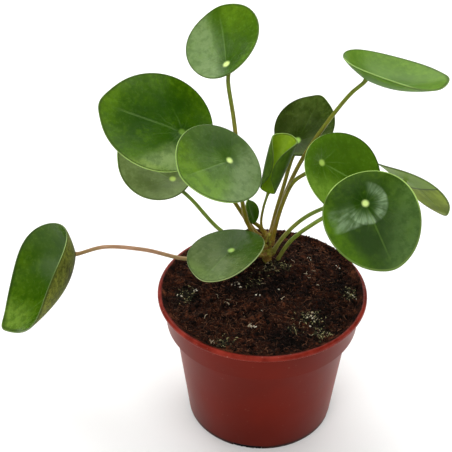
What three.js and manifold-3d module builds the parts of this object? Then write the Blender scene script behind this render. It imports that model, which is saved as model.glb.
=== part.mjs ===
// A young pilea in a plastic nursery pot: thirteen coin-shaped leaves on long petioles,
// grown from one short stem that stands in peat.
// Millimetres, +Z up. The origin is the middle of the pot's foot, and -Y is the front.

import * as THREE from "three";
import { mergeGeometries, mergeVertices } from "three/addons/utils/BufferGeometryUtils.js";
import Module from "manifold-3d";

const wasm = await Module();
wasm.setup();

// Driving dimensions

const RIM_RADIUS = 60;
const POT_HEIGHT = 85.5;
const FOOT_RADIUS = 43;
const COLLAR_HEIGHT = 19.3;
const POT_WALL = 1.3;
const BLADE_THICKNESS = 0.9;
const PETIOLE_RADIUS = 1.25;
const CROWN_FOOT = [2.7, 23];
const SEAT_GAP = 0.3;

// Smaller sizes of the pot

const POT_SIDES = 48;
const LIP_WIDTH = 2.6;
const LIP_HEIGHT = 2.8;
const COLLAR_TOP_RADIUS = 56.4;
const COLLAR_RADIUS = 55.3;
const BODY_TOP_RADIUS = 50.8;
const PAD_RADIUS = 20;
const FLOOR_RISE = 2.5;
const FLOOR_THICKNESS = 1.5;
const FOOT_WIDTH = 2;
const DRAIN_COUNT = 8;
const DRAIN_RADIUS = 3.5;
const DRAIN_CIRCLE = 31;
const NOTCH_COUNT = 4;
const NOTCH_WIDTH = 17;
const NOTCH_HEIGHT = 2.2;
const NOTCH_BEARING = 259;

// Smaller sizes of the soil and the crown

const SOIL_SIDES = 44;
const SOIL_RINGS = 9;
const SOIL_BELOW_RIM = 2.2;
const SOIL_LEVEL_EDGE = 14;
const SOIL_HILLS = [
  { at: CROWN_FOOT, height: 4, spread: 12 },
  { at: [30, 34], height: 3.2, spread: 16 },
  { at: [0, 0], height: 1.6, spread: 30 },
];
const CLOD_HEIGHT = 0.5;
const CROWN_DEPTH = 12;
const CROWN_RADIUS = 3.2;
const CROWN_TIP_RADIUS = 2.5;
const CROWN_TOP = [4, 23, 107];
const CROWN_TAPER = 3;
const CROWN_SIDES = 12;
const LEAF_BASE_RADIUS = 2;

// Fineness of the blades and petioles, and how their ends are shaped

const BLADE_SPOKES = 24;
const BLADE_RINGS = 4;
const PETIOLE_SIDES = 8;
const PETIOLE_STEP = 7;
const PETIOLE_APPROACH = 4;
const TIP_BREADTH = 0.28;
const SLOPE_STEP = 0.05;

const rad = THREE.MathUtils.degToRad;

// Each leaf: the place on the blade where the petiole joins (spot), the bearing and rise of the
// tip, the roll about that line (bank), the blade's length and width, the share of the length
// behind the spot (heel), how far the tip juts (point), how much fuller the tip half is (full),
// how far the rim stands above the spot lengthwise and crosswise (cup), the twist, and the route
// of the petiole from the crown up to the blade.
const LEAVES = [
  {
    name: "top",
    spot: [-21, 20, 218], heading: 91, rise: 16, bank: -29,
    length: 46, width: 43, heel: 0.2, point: 0.5, full: 0.05, cup: [3, 3], twist: 0.5,
    route: [[1.5, 20.5, 105], [-9, 20, 118], [-13, 20, 150], [-17, 20, 186], [-20, 20, 208]],
  },
  {
    name: "upper_left",
    spot: [-45.5, 36, 168], heading: 175, rise: 19, bank: -30,
    length: 64, width: 60, heel: 0.27, point: 2, full: -0.05, cup: [0.5, 2], twist: 0.5,
    route: [[1.5, 26, 99], [-9, 31, 112], [-17, 32, 125.5], [-34, 34.5, 151.5]],
  },
  {
    name: "front_left",
    spot: [-19, -8, 176.5], heading: 224, rise: 6, bank: -33,
    length: 51, width: 48, heel: 0.33, point: 1, full: -0.05, cup: [1, 1], twist: 0,
    route: [[1.5, 19, 101], [-7, 17, 115.5], [-12, 7, 140.5], [-16, -3, 163]],
  },
  {
    name: "lower_left",
    spot: [-52, 44, 132], heading: 159, rise: 8, bank: -16,
    length: 44, width: 41, heel: 0.25, point: 1.5, full: -0.05, cup: [4, 0.5], twist: 0,
    route: [[0.5, 25.5, 95], [-12, 28, 98], [-25, 33, 104], [-41, 40, 120]],
  },
  {
    name: "low_front",
    spot: [-18, -5, 116.5], heading: 236, rise: -7, bank: 10,
    length: 45.5, width: 42.5, heel: 0.4, point: 1, full: 0, cup: [0, 3.5], twist: -1,
    route: [[1, 20, 95], [-8, 11, 101], [-14, 3, 107]],
  },
  {
    name: "far_left",
    spot: [-109, 15, 98.5], heading: 183, rise: -85, bank: -14,
    length: 63, width: 59, heel: 0.25, point: 1.5, full: -0.15, cup: [17.5, 21.5], twist: -2.5,
    route: [[0.5, 23.5, 93], [-22, 22, 92], [-44, 19, 92.5], [-68, 17.5, 100], [-91, 16, 103]],
  },
  {
    name: "back",
    spot: [20, 50, 154.5], heading: 53, rise: 34, bank: 5,
    length: 38, width: 35.5, heel: 0.26, point: 1.5, full: 0, cup: [1.5, 1.5], twist: -0.5,
    route: [[4.5, 26, 103], [8, 31.5, 117], [12.5, 38.5, 131], [16.5, 45.5, 143]],
  },
  {
    name: "folded",
    spot: [3, 15, 143], heading: 60, rise: 48, bank: 192,
    length: 34, width: 36, heel: 0.05, point: 1, full: 0, roll: [4, 6.9],
    route: [[2, 20.5, 107.5], [-0.8, 18, 118], [0, 16, 130]],
  },
  {
    name: "upper_right",
    spot: [55, 36, 202], heading: 0, rise: -29, bank: -10,
    length: 56.5, width: 53, heel: 0.3, point: 1, full: -0.1, cup: [10, 9.5], twist: 1.5,
    route: [[5.5, 24, 105.5], [14, 27.5, 136], [22, 29.5, 155], [36, 33, 178], [47, 35, 193]],
  },
  {
    name: "right",
    spot: [31.5, 16, 160.5], heading: 3, rise: -35, bank: 40,
    length: 49, width: 46, heel: 0.23, point: 1, full: 0.05, cup: [1.5, 2.5], twist: 0,
    route: [[5.5, 20.5, 103], [10.5, 18, 130.5], [16.5, 16, 148], [24, 13.5, 156]],
  },
  {
    name: "front_right",
    spot: [52, -18, 156.5], heading: 297, rise: -37, bank: 18,
    length: 55, width: 51, heel: 0.31, point: 0.5, full: -0.1, cup: [0.5, 2], twist: -0.5,
    route: [[8.5, 25.5, 85], [16, 16.5, 107], [26, 5, 126], [37, -6, 142]],
  },
  {
    name: "drooping",
    spot: [81.5, 32, 140], heading: -5, rise: -35, bank: -34,
    length: 50, width: 46.5, heel: 0.38, point: 2, full: 0, cup: [-3, 1], twist: -2,
    route: [[6, 25, 92], [13, 26, 104], [26, 27, 117.5], [52, 29, 129]],
  },
  {
    name: "young",
    spot: [-5.5, 26, 116], heading: 139, rise: 58, bank: 0,
    length: 14, width: 10, heel: 0.2, point: 1, full: 0, cup: [1, 2.5], twist: 0,
    route: [[3, 25, 105], [-1.5, 27, 110]],
  },
];

// Solids and meshes

function toSolid(geometry) {
  const bare = geometry.index ? geometry.toNonIndexed() : geometry.clone();
  bare.deleteAttribute("normal");
  bare.deleteAttribute("uv");
  const merged = mergeVertices(bare, 1e-4);
  const index = merged.index.array;
  const faces = [];
  for (let i = 0; i < index.length; i += 3) {
    const [a, b, c] = [index[i], index[i + 1], index[i + 2]];
    if (a !== b && b !== c && c !== a) faces.push(a, b, c);
  }
  const mesh = new wasm.Mesh({
    numProp: 3,
    vertProperties: new Float32Array(merged.attributes.position.array),
    triVerts: new Uint32Array(faces),
  });
  return new wasm.Manifold(mesh);
}

function toGeometry(solid) {
  const mesh = solid.getMesh();
  const geometry = new THREE.BufferGeometry();
  geometry.setAttribute("position", new THREE.BufferAttribute(mesh.vertProperties, 3));
  geometry.setIndex(new THREE.BufferAttribute(mesh.triVerts, 1));
  geometry.computeVertexNormals();
  return geometry;
}

function finish(color, roughness) {
  return new THREE.MeshStandardMaterial({ color, roughness, metalness: 0 });
}

function addPiece(group, name, solid, material) {
  const mesh = new THREE.Mesh(toGeometry(solid), material);
  mesh.name = name;
  group.add(mesh);
}

// A turned solid: its profile is a list of [radius, height] that starts and ends on the axis.
function turned(profile, sides) {
  const points = profile.map(([r, z]) => new THREE.Vector2(r, z));
  const geometry = new THREE.LatheGeometry(points, sides);
  geometry.rotateX(Math.PI / 2);
  return geometry;
}

// Pot

function bodyRadius(z) {
  const share = z / (POT_HEIGHT - COLLAR_HEIGHT);
  return FOOT_RADIUS + (BODY_TOP_RADIUS - FOOT_RADIUS) * share;
}

function potOutside() {
  const collar = POT_HEIGHT - COLLAR_HEIGHT;
  const under = POT_HEIGHT - LIP_HEIGHT;
  return [
    [0, 0],
    [PAD_RADIUS, 0],
    [PAD_RADIUS + 2, FLOOR_RISE],
    [FOOT_RADIUS - FOOT_WIDTH - 1, FLOOR_RISE],
    [FOOT_RADIUS - FOOT_WIDTH, 0],
    [FOOT_RADIUS, 0],
    [bodyRadius(collar * 0.5), collar * 0.5],
    [BODY_TOP_RADIUS, collar - 0.6],
    [COLLAR_RADIUS - 0.5, collar],
    [COLLAR_RADIUS, collar + 0.6],
    [COLLAR_TOP_RADIUS, under],
    [RIM_RADIUS - 0.5, under],
    [RIM_RADIUS, under + 0.5],
    [RIM_RADIUS, POT_HEIGHT - 0.7],
    [RIM_RADIUS - 0.7, POT_HEIGHT],
    [RIM_RADIUS - LIP_WIDTH + 0.3, POT_HEIGHT],
  ];
}

function potInside(clearance) {
  const collar = POT_HEIGHT - COLLAR_HEIGHT;
  const floor = FLOOR_RISE + FLOOR_THICKNESS;
  const shift = POT_WALL + clearance;
  return [
    [COLLAR_TOP_RADIUS - shift, POT_HEIGHT - LIP_HEIGHT + 0.8],
    [COLLAR_RADIUS - shift, collar + 1.2],
    [BODY_TOP_RADIUS - shift, collar - 1],
    [bodyRadius(floor) - shift, floor + clearance],
    [PAD_RADIUS + 4, floor + clearance],
    [PAD_RADIUS + 1.5, FLOOR_THICKNESS + clearance],
    [0, FLOOR_THICKNESS + clearance],
  ];
}

function drainHoles() {
  const holes = [];
  for (let i = 0; i < DRAIN_COUNT; i++) {
    const angle = (2 * Math.PI * (i + 0.5)) / DRAIN_COUNT;
    const hole = new THREE.CylinderGeometry(DRAIN_RADIUS, DRAIN_RADIUS, 8, 16);
    hole.rotateX(Math.PI / 2);
    hole.translate(DRAIN_CIRCLE * Math.cos(angle), DRAIN_CIRCLE * Math.sin(angle), FLOOR_RISE);
    holes.push(toSolid(hole));
  }
  return holes;
}

function footNotches() {
  const notches = [];
  for (let i = 0; i < NOTCH_COUNT; i++) {
    const notch = new THREE.BoxGeometry(8, NOTCH_WIDTH, 2 * NOTCH_HEIGHT);
    notch.translate(FOOT_RADIUS, 0, 0);
    notch.rotateZ(rad(NOTCH_BEARING + (360 / NOTCH_COUNT) * i));
    notches.push(toSolid(notch));
  }
  return notches;
}

function potSolid() {
  let pot = toSolid(turned([...potOutside(), ...potInside(0)], POT_SIDES));
  for (const cut of [...drainHoles(), ...footNotches()]) pot = pot.subtract(cut);
  return pot;
}

// Soil

// The peat is heaped about the crown and at the back right, level at the wall and cloddy all over.
function soilRise(x, y) {
  let rise = 0;
  for (const { at, height, spread } of SOIL_HILLS) {
    const distance = Math.hypot(x - at[0], y - at[1]);
    rise += height * Math.exp(-(distance ** 2) / (2 * spread ** 2));
  }
  const wide = Math.sin(x / 3.2 + 0.8) * Math.cos(y / 3.7);
  const fine = Math.sin(y / 1.8 - x / 2.5);
  const inward = Math.min(1, (RIM_RADIUS - Math.hypot(x, y)) / SOIL_LEVEL_EDGE);
  return (rise + CLOD_HEIGHT * (wide + 0.7 * fine)) * inward;
}

function soilBlank() {
  const inside = potInside(SEAT_GAP);
  const [wallRadius, wallTop] = inside[0];
  const [lowRadius, lowTop] = inside[1];
  const level = POT_HEIGHT - SOIL_BELOW_RIM;
  const share = (level - lowTop) / (wallTop - lowTop);
  const edge = lowRadius + (wallRadius - lowRadius) * share;
  const surface = [];
  for (let ring = 0; ring <= SOIL_RINGS; ring++) {
    surface.push([(edge * (SOIL_RINGS - ring)) / SOIL_RINGS, level]);
  }
  return turned([...inside.slice(1).reverse(), ...surface], SOIL_SIDES);
}

function soilSolid(holes) {
  const blank = soilBlank();
  const places = blank.attributes.position;
  const level = POT_HEIGHT - SOIL_BELOW_RIM;
  for (let i = 0; i < places.count; i++) {
    if (places.getZ(i) < level - 0.01) continue;
    places.setZ(i, level + soilRise(places.getX(i), places.getY(i)));
  }
  let soil = toSolid(blank);
  for (const hole of holes) soil = soil.subtract(hole);
  return soil;
}

// Crown, the short stem that the petioles grow from

function crownSolid(grow) {
  const foot = new THREE.Vector3(CROWN_FOOT[0], CROWN_FOOT[1], POT_HEIGHT - CROWN_DEPTH);
  const top = new THREE.Vector3(...CROWN_TOP);
  const height = top.distanceTo(foot);
  const [thick, thin] = [CROWN_RADIUS + grow, CROWN_TIP_RADIUS + grow];
  const profile = [
    [0, -grow],
    [thin, -grow],
    [thick, CROWN_TAPER],
    [thick, height / 2],
    [thin, height - CROWN_TAPER],
    [thin / 2, height - CROWN_TAPER / 4 + grow],
    [0, height + grow],
  ];
  const stem = turned(profile, CROWN_SIDES);
  const lean = new THREE.Quaternion();
  lean.setFromUnitVectors(new THREE.Vector3(0, 0, 1), top.clone().sub(foot).normalize());
  stem.applyQuaternion(lean);
  stem.translate(foot.x, foot.y, foot.z);
  return toSolid(stem);
}

function leafBases(grow) {
  const bases = [];
  for (const leaf of LEAVES) {
    if (rootedInSoil(leaf)) continue;
    const knob = new THREE.IcosahedronGeometry(LEAF_BASE_RADIUS + grow, 1);
    knob.translate(...leaf.route[0]);
    bases.push(toSolid(knob));
  }
  return bases;
}

function knobblyCrown(grow) {
  let crown = crownSolid(grow);
  for (const base of leafBases(grow)) crown = crown.add(base);
  return crown;
}

// Blades

function bladeFrame(leaf) {
  const [h, e, b] = [rad(leaf.heading), rad(leaf.rise), rad(leaf.bank)];
  const tip = new THREE.Vector3(Math.cos(e) * Math.cos(h), Math.cos(e) * Math.sin(h), Math.sin(e));
  const level = new THREE.Vector3(-Math.sin(h), Math.cos(h), 0);
  const side = level.applyAxisAngle(tip, b);
  const normal = tip.clone().cross(side);
  return { tip, side, normal };
}

// The blade's outline about the spot, as lengths along and across it at one angle.
function bladeOutline(leaf, angle) {
  const turn = Math.atan2(Math.sin(angle), Math.cos(angle));
  const middle = (0.5 - leaf.heel) * leaf.length;
  const jut = leaf.point * Math.exp(-((turn / TIP_BREADTH) ** 2));
  const along = middle + (leaf.length / 2) * Math.cos(angle) + jut;
  const across = (leaf.width / 2) * Math.sin(angle) * (1 + leaf.full * Math.cos(angle));
  return [along, across];
}

function cuppedPoint(leaf, frame, along, across) {
  const [s, t] = [along / (leaf.length / 2), across / (leaf.width / 2)];
  const lift = leaf.cup[0] * s * s + leaf.cup[1] * t * t + leaf.twist * s * t;
  return new THREE.Vector3(...leaf.spot)
    .addScaledVector(frame.tip, along)
    .addScaledVector(frame.side, across)
    .addScaledVector(frame.normal, lift);
}

// The folded young blade wraps about its long line, tightly at the heel and loosely at the tip.
function rolledPoint(leaf, frame, along, across) {
  const share = along / leaf.length + leaf.heel;
  const radius = leaf.roll[0] + (leaf.roll[1] - leaf.roll[0]) * Math.sin((share * Math.PI) / 2);
  const turn = across / radius;
  return new THREE.Vector3(...leaf.spot)
    .addScaledVector(frame.tip, along)
    .addScaledVector(frame.side, radius * Math.sin(turn))
    .addScaledVector(frame.normal, -radius * (1 - Math.cos(turn)));
}

function bladePoint(leaf, frame, along, across) {
  const place = leaf.roll ? rolledPoint : cuppedPoint;
  return place(leaf, frame, along, across);
}

function facePoint(leaf, frame, angle, share, height) {
  const [alongRim, acrossRim] = bladeOutline(leaf, angle);
  const [along, across] = [alongRim * share, acrossRim * share];
  const here = bladePoint(leaf, frame, along, across);
  const ahead = bladePoint(leaf, frame, along + SLOPE_STEP, across).sub(here);
  const aside = bladePoint(leaf, frame, along, across + SLOPE_STEP).sub(here);
  return here.addScaledVector(ahead.cross(aside).normalize(), height);
}

// A flat sheet, angle by share of the radius, wrapped onto one face of the blade.
function wrapSheet(rings, place) {
  const sheet = new THREE.PlaneGeometry(1, 1, BLADE_SPOKES, rings);
  sheet.translate(0.5, 0.5, 0);
  const places = sheet.attributes.position;
  for (let i = 0; i < places.count; i++) {
    const spoke = Math.round(places.getX(i) * BLADE_SPOKES) % BLADE_SPOKES;
    const point = place((2 * Math.PI * spoke) / BLADE_SPOKES, places.getY(i));
    places.setXYZ(i, point.x, point.y, point.z);
  }
  return sheet;
}

function flipped(geometry) {
  const index = geometry.index;
  for (let i = 0; i < index.count; i += 3) {
    const first = index.getX(i);
    index.setX(i, index.getX(i + 1));
    index.setX(i + 1, first);
  }
  return geometry;
}

function bladeSolid(leaf) {
  const frame = bladeFrame(leaf);
  const half = BLADE_THICKNESS / 2;
  const upper = wrapSheet(BLADE_RINGS, (angle, share) => facePoint(leaf, frame, angle, share, half));
  const lower = wrapSheet(BLADE_RINGS, (angle, share) => facePoint(leaf, frame, angle, share, -half));
  const edge = wrapSheet(1, (angle, share) => facePoint(leaf, frame, angle, 1, half - 2 * half * share));
  return toSolid(mergeGeometries([flipped(upper), lower, flipped(edge)]));
}

// Petioles

// A petiole meets the underside of its blade squarely, and the folded blade at its heel.
function petioleEnds(leaf) {
  const { tip, normal } = bladeFrame(leaf);
  const inward = leaf.roll ? tip : normal;
  const reach = leaf.roll ? leaf.heel * leaf.length : BLADE_THICKNESS / 2;
  const spot = new THREE.Vector3(...leaf.spot);
  const end = spot.clone().addScaledVector(inward, -reach - SEAT_GAP);
  const approach = end.clone().addScaledVector(inward, -PETIOLE_APPROACH);
  return [approach, end];
}

function petioleSolid(leaf, grow = 0) {
  const points = [...leaf.route.map((p) => new THREE.Vector3(...p)), ...petioleEnds(leaf)];
  points[0].z -= grow;
  const radius = PETIOLE_RADIUS + grow;
  const path = new THREE.CatmullRomCurve3(points, false, "centripetal");
  const corners = [];
  for (let i = 0; i < PETIOLE_SIDES; i++) {
    const angle = (2 * Math.PI * i) / PETIOLE_SIDES;
    corners.push(new THREE.Vector2(radius * Math.cos(angle), radius * Math.sin(angle)));
  }
  const steps = Math.ceil(path.getLength() / PETIOLE_STEP);
  const options = { steps, bevelEnabled: false, extrudePath: path };
  return toSolid(new THREE.ExtrudeGeometry(new THREE.Shape(corners), options));
}

// Assembly

function rootedInSoil(leaf) {
  return leaf.route[0][2] < POT_HEIGHT;
}

function buildPlant() {
  const plant = new THREE.Group();
  const terracotta = 0x8c3324;
  const peat = 0x2a1a14;
  const bark = 0x6f6436;
  const leafGreen = 0x2f6a22;
  const stalkGreen = 0x7d8a45;

  addPiece(plant, "pot", potSolid(), finish(terracotta, 0.4));

  const crownRoom = knobblyCrown(SEAT_GAP);
  const holes = [crownRoom];
  for (const leaf of LEAVES.filter(rootedInSoil)) holes.push(petioleSolid(leaf, SEAT_GAP));
  addPiece(plant, "soil", soilSolid(holes), finish(peat, 0.95));
  addPiece(plant, "crown", knobblyCrown(0), finish(bark, 0.6));

  for (const leaf of LEAVES) {
    const petiole = petioleSolid(leaf).subtract(crownRoom);
    addPiece(plant, `petiole_${leaf.name}`, petiole, finish(stalkGreen, 0.55));
    addPiece(plant, `blade_${leaf.name}`, bladeSolid(leaf), finish(leafGreen, 0.35));
  }
  return plant;
}

export default buildPlant();
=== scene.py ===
"""Dresses a young pilea: coin-shaped leaves on long stalks, in a nursery pot full of peat.

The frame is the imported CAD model: metres, +Z up, the origin in the middle of the pot's foot and
-Y towards the viewer. The sizes below are in millimetres and are turned into metres by the
meshes.
"""

from __future__ import annotations

import logging
import math
import random
from dataclasses import dataclass, field
from enum import Enum
from typing import Sequence

import bpy
import numpy as np
from mathutils import Matrix, Vector, noise

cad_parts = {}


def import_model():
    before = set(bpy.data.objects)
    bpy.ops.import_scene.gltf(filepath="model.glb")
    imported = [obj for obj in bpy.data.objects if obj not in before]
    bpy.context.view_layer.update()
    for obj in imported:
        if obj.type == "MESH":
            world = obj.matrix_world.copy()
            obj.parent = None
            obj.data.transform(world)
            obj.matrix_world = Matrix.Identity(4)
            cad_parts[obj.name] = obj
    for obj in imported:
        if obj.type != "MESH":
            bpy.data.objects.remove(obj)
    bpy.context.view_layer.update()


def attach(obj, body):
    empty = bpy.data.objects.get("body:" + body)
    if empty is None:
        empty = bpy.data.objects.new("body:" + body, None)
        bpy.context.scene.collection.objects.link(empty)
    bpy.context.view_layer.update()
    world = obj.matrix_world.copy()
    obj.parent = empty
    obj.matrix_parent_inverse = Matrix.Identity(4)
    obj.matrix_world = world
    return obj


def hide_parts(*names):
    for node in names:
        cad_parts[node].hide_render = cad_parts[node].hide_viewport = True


LOG = logging.getLogger("pilea")
MM = 0.001
SEED = 24
VEIN_RAYS = 9

Colour = tuple[float, float, float, float]
Triple = tuple[float, float, float]
Place = tuple[float, float]
Faces = list[tuple[int, ...]]
Shape = tuple[np.ndarray, Faces]
Socket = bpy.types.NodeSocket

# Other orders of a quad's corners, both with the quad turned over
REVERSED = (0, 3, 2, 1)
SWAPPED = (1, 0, 3, 2)


# Colours, shaders and meshes


def paint(red: int, green: int, blue: int) -> Colour:
    """Turns a colour as a screen shows it into the linear colour that a shader takes.

    Args:
        red: Red from 0 to 255.
        green: Green from 0 to 255.
        blue: Blue from 0 to 255.

    Returns:
        The linear colour, opaque.
    """
    linear = []
    for level in (red, green, blue):
        linear.append(((level / 255 + 0.055) / 1.055) ** 2.4 if level > 10 else level / 255 / 12.92)
    return (linear[0], linear[1], linear[2], 1.0)


class Shader:
    """One material and short ways to wire its nodes."""

    def __init__(self, name: str) -> None:
        """Starts an empty material with a Principled shader.

        Args:
            name: The material's name.
        """
        self.material = bpy.data.materials.new(name)
        self.material.use_nodes = True
        self.tree = self.material.node_tree
        self.surface = self.tree.nodes["Principled BSDF"]

    def node(self, kind: str, **settings: object) -> bpy.types.Node:
        """Adds a node and sets its properties.

        Args:
            kind: The node's type.
            **settings: Properties of the node.

        Returns:
            The node.
        """
        made = self.tree.nodes.new(kind)
        for key, value in settings.items():
            setattr(made, key, value)
        return made

    def feed(self, socket: Socket, value: object) -> None:
        """Links a socket to another socket, or sets a constant on it.

        Args:
            socket: The input.
            value: An output socket, a number or a colour.
        """
        if isinstance(value, Socket):
            self.tree.links.new(value, socket)
        else:
            socket.default_value = value

    def math(self, action: str, first: object, second: object = 0.0) -> Socket:
        """Adds a Math node.

        Args:
            action: The operation, such as MULTIPLY.
            first: The first input.
            second: The second input.

        Returns:
            The result.
        """
        made = self.node("ShaderNodeMath", operation=action)
        self.feed(made.inputs[0], first)
        self.feed(made.inputs[1], second)
        return made.outputs[0]

    def times(self, first: object, *others: object) -> Socket:
        """Multiplies values, from the left.

        Args:
            first: The first value.
            *others: The other values.

        Returns:
            The product.
        """
        for other in others:
            first = self.math("MULTIPLY", first, other)
        return first

    def away(self, value: object, middle: object) -> Socket:
        """Measures how far a value lies from another.

        Args:
            value: The value.
            middle: The other value.

        Returns:
            The distance, never negative.
        """
        return self.math("ABSOLUTE", self.math("SUBTRACT", value, middle))

    def sway(self, value: object, noise_level: object, width: float) -> Socket:
        """Shifts a value to and fro by noise.

        Args:
            value: The value.
            noise_level: The noise, with its middle at 0.5.
            width: How much the shift changes between the noise's 0 and its 1.

        Returns:
            The shifted value.
        """
        return self.math("ADD", value, self.times(self.math("SUBTRACT", noise_level, 0.5), width))

    def vector(self, action: str, first: object, result: str = "Vector") -> Socket:
        """Adds a Vector Math node.

        Args:
            action: The operation, such as LENGTH.
            first: The first input.
            result: The name of the output.

        Returns:
            The result.
        """
        made = self.node("ShaderNodeVectorMath", operation=action)
        self.feed(made.inputs[0], first)
        return made.outputs[result]

    def split(self, vector: object) -> tuple[Socket, Socket, Socket]:
        """Takes a vector apart.

        Args:
            vector: The vector.

        Returns:
            Its three parts.
        """
        made = self.node("ShaderNodeSeparateXYZ")
        self.feed(made.inputs[0], vector)
        return tuple(made.outputs)

    def mix(self, share: object, first: object, second: object) -> Socket:
        """Mixes two colours.

        Args:
            share: How much of the second.
            first: The first colour.
            second: The second colour.

        Returns:
            The mixed colour.
        """
        made = self.node("ShaderNodeMix", data_type="RGBA")
        self.feed(made.inputs[0], share)
        self.feed(made.inputs[6], first)
        self.feed(made.inputs[7], second)
        return made.outputs[2]

    def ease(self, value: object, low: float, high: float, start: float = 0.0,
             end: float = 1.0) -> Socket:
        """Maps a value smoothly from one range to another.

        Args:
            value: The value.
            low: Where the change begins.
            high: Where the change ends.
            start: The result below low.
            end: The result above high.

        Returns:
            The mapped value.
        """
        made = self.node("ShaderNodeMapRange", interpolation_type="SMOOTHSTEP")
        for socket, number in zip(made.inputs[:5], (value, low, high, start, end)):
            self.feed(socket, number)
        return made.outputs[0]

    def place(self) -> Socket:
        """Gives the point on the object, in metres."""
        return self.node("ShaderNodeTexCoord").outputs["Object"]

    def attribute(self, name: str, vector: bool = False) -> Socket:
        """Reads a value that a mesh carries.

        Args:
            name: The attribute's name.
            vector: Whether it is a vector, and not a number.

        Returns:
            The attribute's socket.
        """
        made = self.node("ShaderNodeAttribute", attribute_name=name)
        return made.outputs["Vector" if vector else "Fac"]

    def noise(self, vector: object, scale: float, detail: float = 3.0, rough: float = 0.55) -> Socket:
        """Adds smooth noise between about 0.2 and 0.8.

        Args:
            vector: Where to read it.
            scale: How many features fit in a unit.
            detail: How many finer layers it has.
            rough: How strong the finer layers are.

        Returns:
            The noise.
        """
        made = self.node("ShaderNodeTexNoise")
        self.feed(made.inputs["Vector"], vector)
        made.inputs["Scale"].default_value = scale
        made.inputs["Detail"].default_value = detail
        made.inputs["Roughness"].default_value = rough
        return made.outputs["Fac"]

    def cells(self, vector: object, scale: float) -> Socket:
        """Adds a cell pattern.

        Args:
            vector: Where to read it.
            scale: How many cells fit in a unit.

        Returns:
            The distance to the nearest edge of a cell.
        """
        made = self.node("ShaderNodeTexVoronoi", feature="DISTANCE_TO_EDGE")
        self.feed(made.inputs["Vector"], vector)
        made.inputs["Scale"].default_value = scale
        return made.outputs["Distance"]

    def bump(self, height: object, depth: float, strength: float = 1.0, under: object = None) -> Socket:
        """Turns a height into a normal.

        Args:
            height: The height, 0 to 1.
            depth: How far 1 stands out, in millimetres.
            strength: How much it counts.
            under: The normal that it is laid over.

        Returns:
            The normal.
        """
        made = self.node("ShaderNodeBump")
        made.inputs["Distance"].default_value = depth * MM
        made.inputs["Strength"].default_value = strength
        self.feed(made.inputs["Height"], height)
        if under is not None:
            self.feed(made.inputs["Normal"], under)
        return made.outputs["Normal"]

    def finish(self, colour: object, roughness: object, normal: object = None, specular: float = 0.5,
               translucent: float = 0.0, tint: Colour = (1.0, 1.0, 1.0, 1.0),
               haze: float = 0.0) -> bpy.types.Material:
        """Fills in the surface.

        Args:
            colour: The base colour.
            roughness: The roughness.
            normal: The normal, where there is relief.
            specular: The strength of the plain reflection.
            translucent: How much light passes under the skin.
            tint: The colour of the plain reflection and of the haze.
            haze: The strength of the soft bloom on edges that turn away.

        Returns:
            The material.
        """
        values = {
            "Base Color": colour,
            "Roughness": roughness,
            "Specular IOR Level": specular,
            "Specular Tint": tint,
            "Sheen Weight": haze,
            "Sheen Roughness": 0.35,
            "Sheen Tint": tint,
            "Subsurface Weight": translucent,
            "Subsurface Scale": MM,
        }
        for name, value in values.items():
            self.feed(self.surface.inputs[name], value)
        if normal is not None:
            self.feed(self.surface.inputs["Normal"], normal)
        return self.material


def make_object(name: str, points: np.ndarray, faces: Faces, materials: Sequence[bpy.types.Material],
                sharp: float = 180.0) -> bpy.types.Object:
    """Makes a smooth mesh object from points in millimetres.

    Args:
        name: The piece's name.
        points: The points, in millimetres.
        faces: The faces, as indices of points.
        materials: Its materials.
        sharp: Edges bent by more than this many degrees stay crisp.

    Returns:
        The object.
    """
    mesh = bpy.data.meshes.new(name)
    mesh.from_pydata((points * MM).tolist(), [], faces)
    mesh.validate()
    mesh.polygons.foreach_set("use_smooth", [True] * len(mesh.polygons))
    if sharp < 180:
        mesh.set_sharp_from_angle(angle=math.radians(sharp))
    for material in materials:
        mesh.materials.append(material)
    made = bpy.data.objects.new(name, mesh)
    bpy.context.scene.collection.objects.link(made)
    return made


def carry(piece: bpy.types.Object, name: str, values: np.ndarray) -> None:
    """Lets a mesh carry a number or a vector at each point.

    Args:
        piece: The object.
        name: The attribute's name.
        values: One number, or three, for each point.
    """
    kind, key = ("FLOAT", "value") if values.ndim == 1 else ("FLOAT_VECTOR", "vector")
    made = piece.data.attributes.new(name, kind, "POINT")
    made.data.foreach_set(key, values.astype(np.float32).ravel())


def settle(piece: bpy.types.Object, slot: str, *nodes: str) -> None:
    """Rides a piece on the plant, logs its slot and lets it stand for CAD nodes.

    Args:
        piece: The object.
        slot: The record's material slot.
        *nodes: The CAD nodes that it stands for.
    """
    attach(piece, "root")
    if nodes:
        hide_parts(*nodes)
    LOG.info("%s: %d faces, slot %s", piece.name, len(piece.data.polygons), slot)


def bake(piece: bpy.types.Object) -> None:
    """Makes what an object's modifiers do a part of its mesh.

    Args:
        piece: The object.
    """
    bpy.context.view_layer.update()
    shaped = piece.evaluated_get(bpy.context.evaluated_depsgraph_get())
    mesh = bpy.data.meshes.new_from_object(shaped)
    piece.modifiers.clear()
    piece.data = mesh


def band(low: int, high: int, count: int, corners: tuple[int, ...] = (0, 1, 2, 3)) -> Faces:
    """Joins two rings of points with quads.

    Args:
        low: The first point of one ring.
        high: The first point of the other.
        count: How many points each ring has.
        corners: The order of a quad's corners: low, low's next, high's next and high.

    Returns:
        The faces.
    """
    faces = []
    for i in range(count):
        j = (i + 1) % count
        quad = (low + i, low + j, high + j, high + i)
        faces.append(tuple(quad[corner] for corner in corners))
    return faces


def fan(middle: int, ring: int, count: int, back: bool = False) -> Faces:
    """Joins a point to a ring of points with triangles.

    Args:
        middle: The point.
        ring: The first point of the ring.
        count: How many points the ring has.
        back: Whether the triangles run against the ring.

    Returns:
        The faces.
    """
    turn = -1 if back else 1
    return [(middle, *(ring + i, ring + (i + 1) % count)[::turn]) for i in range(count)]


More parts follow.
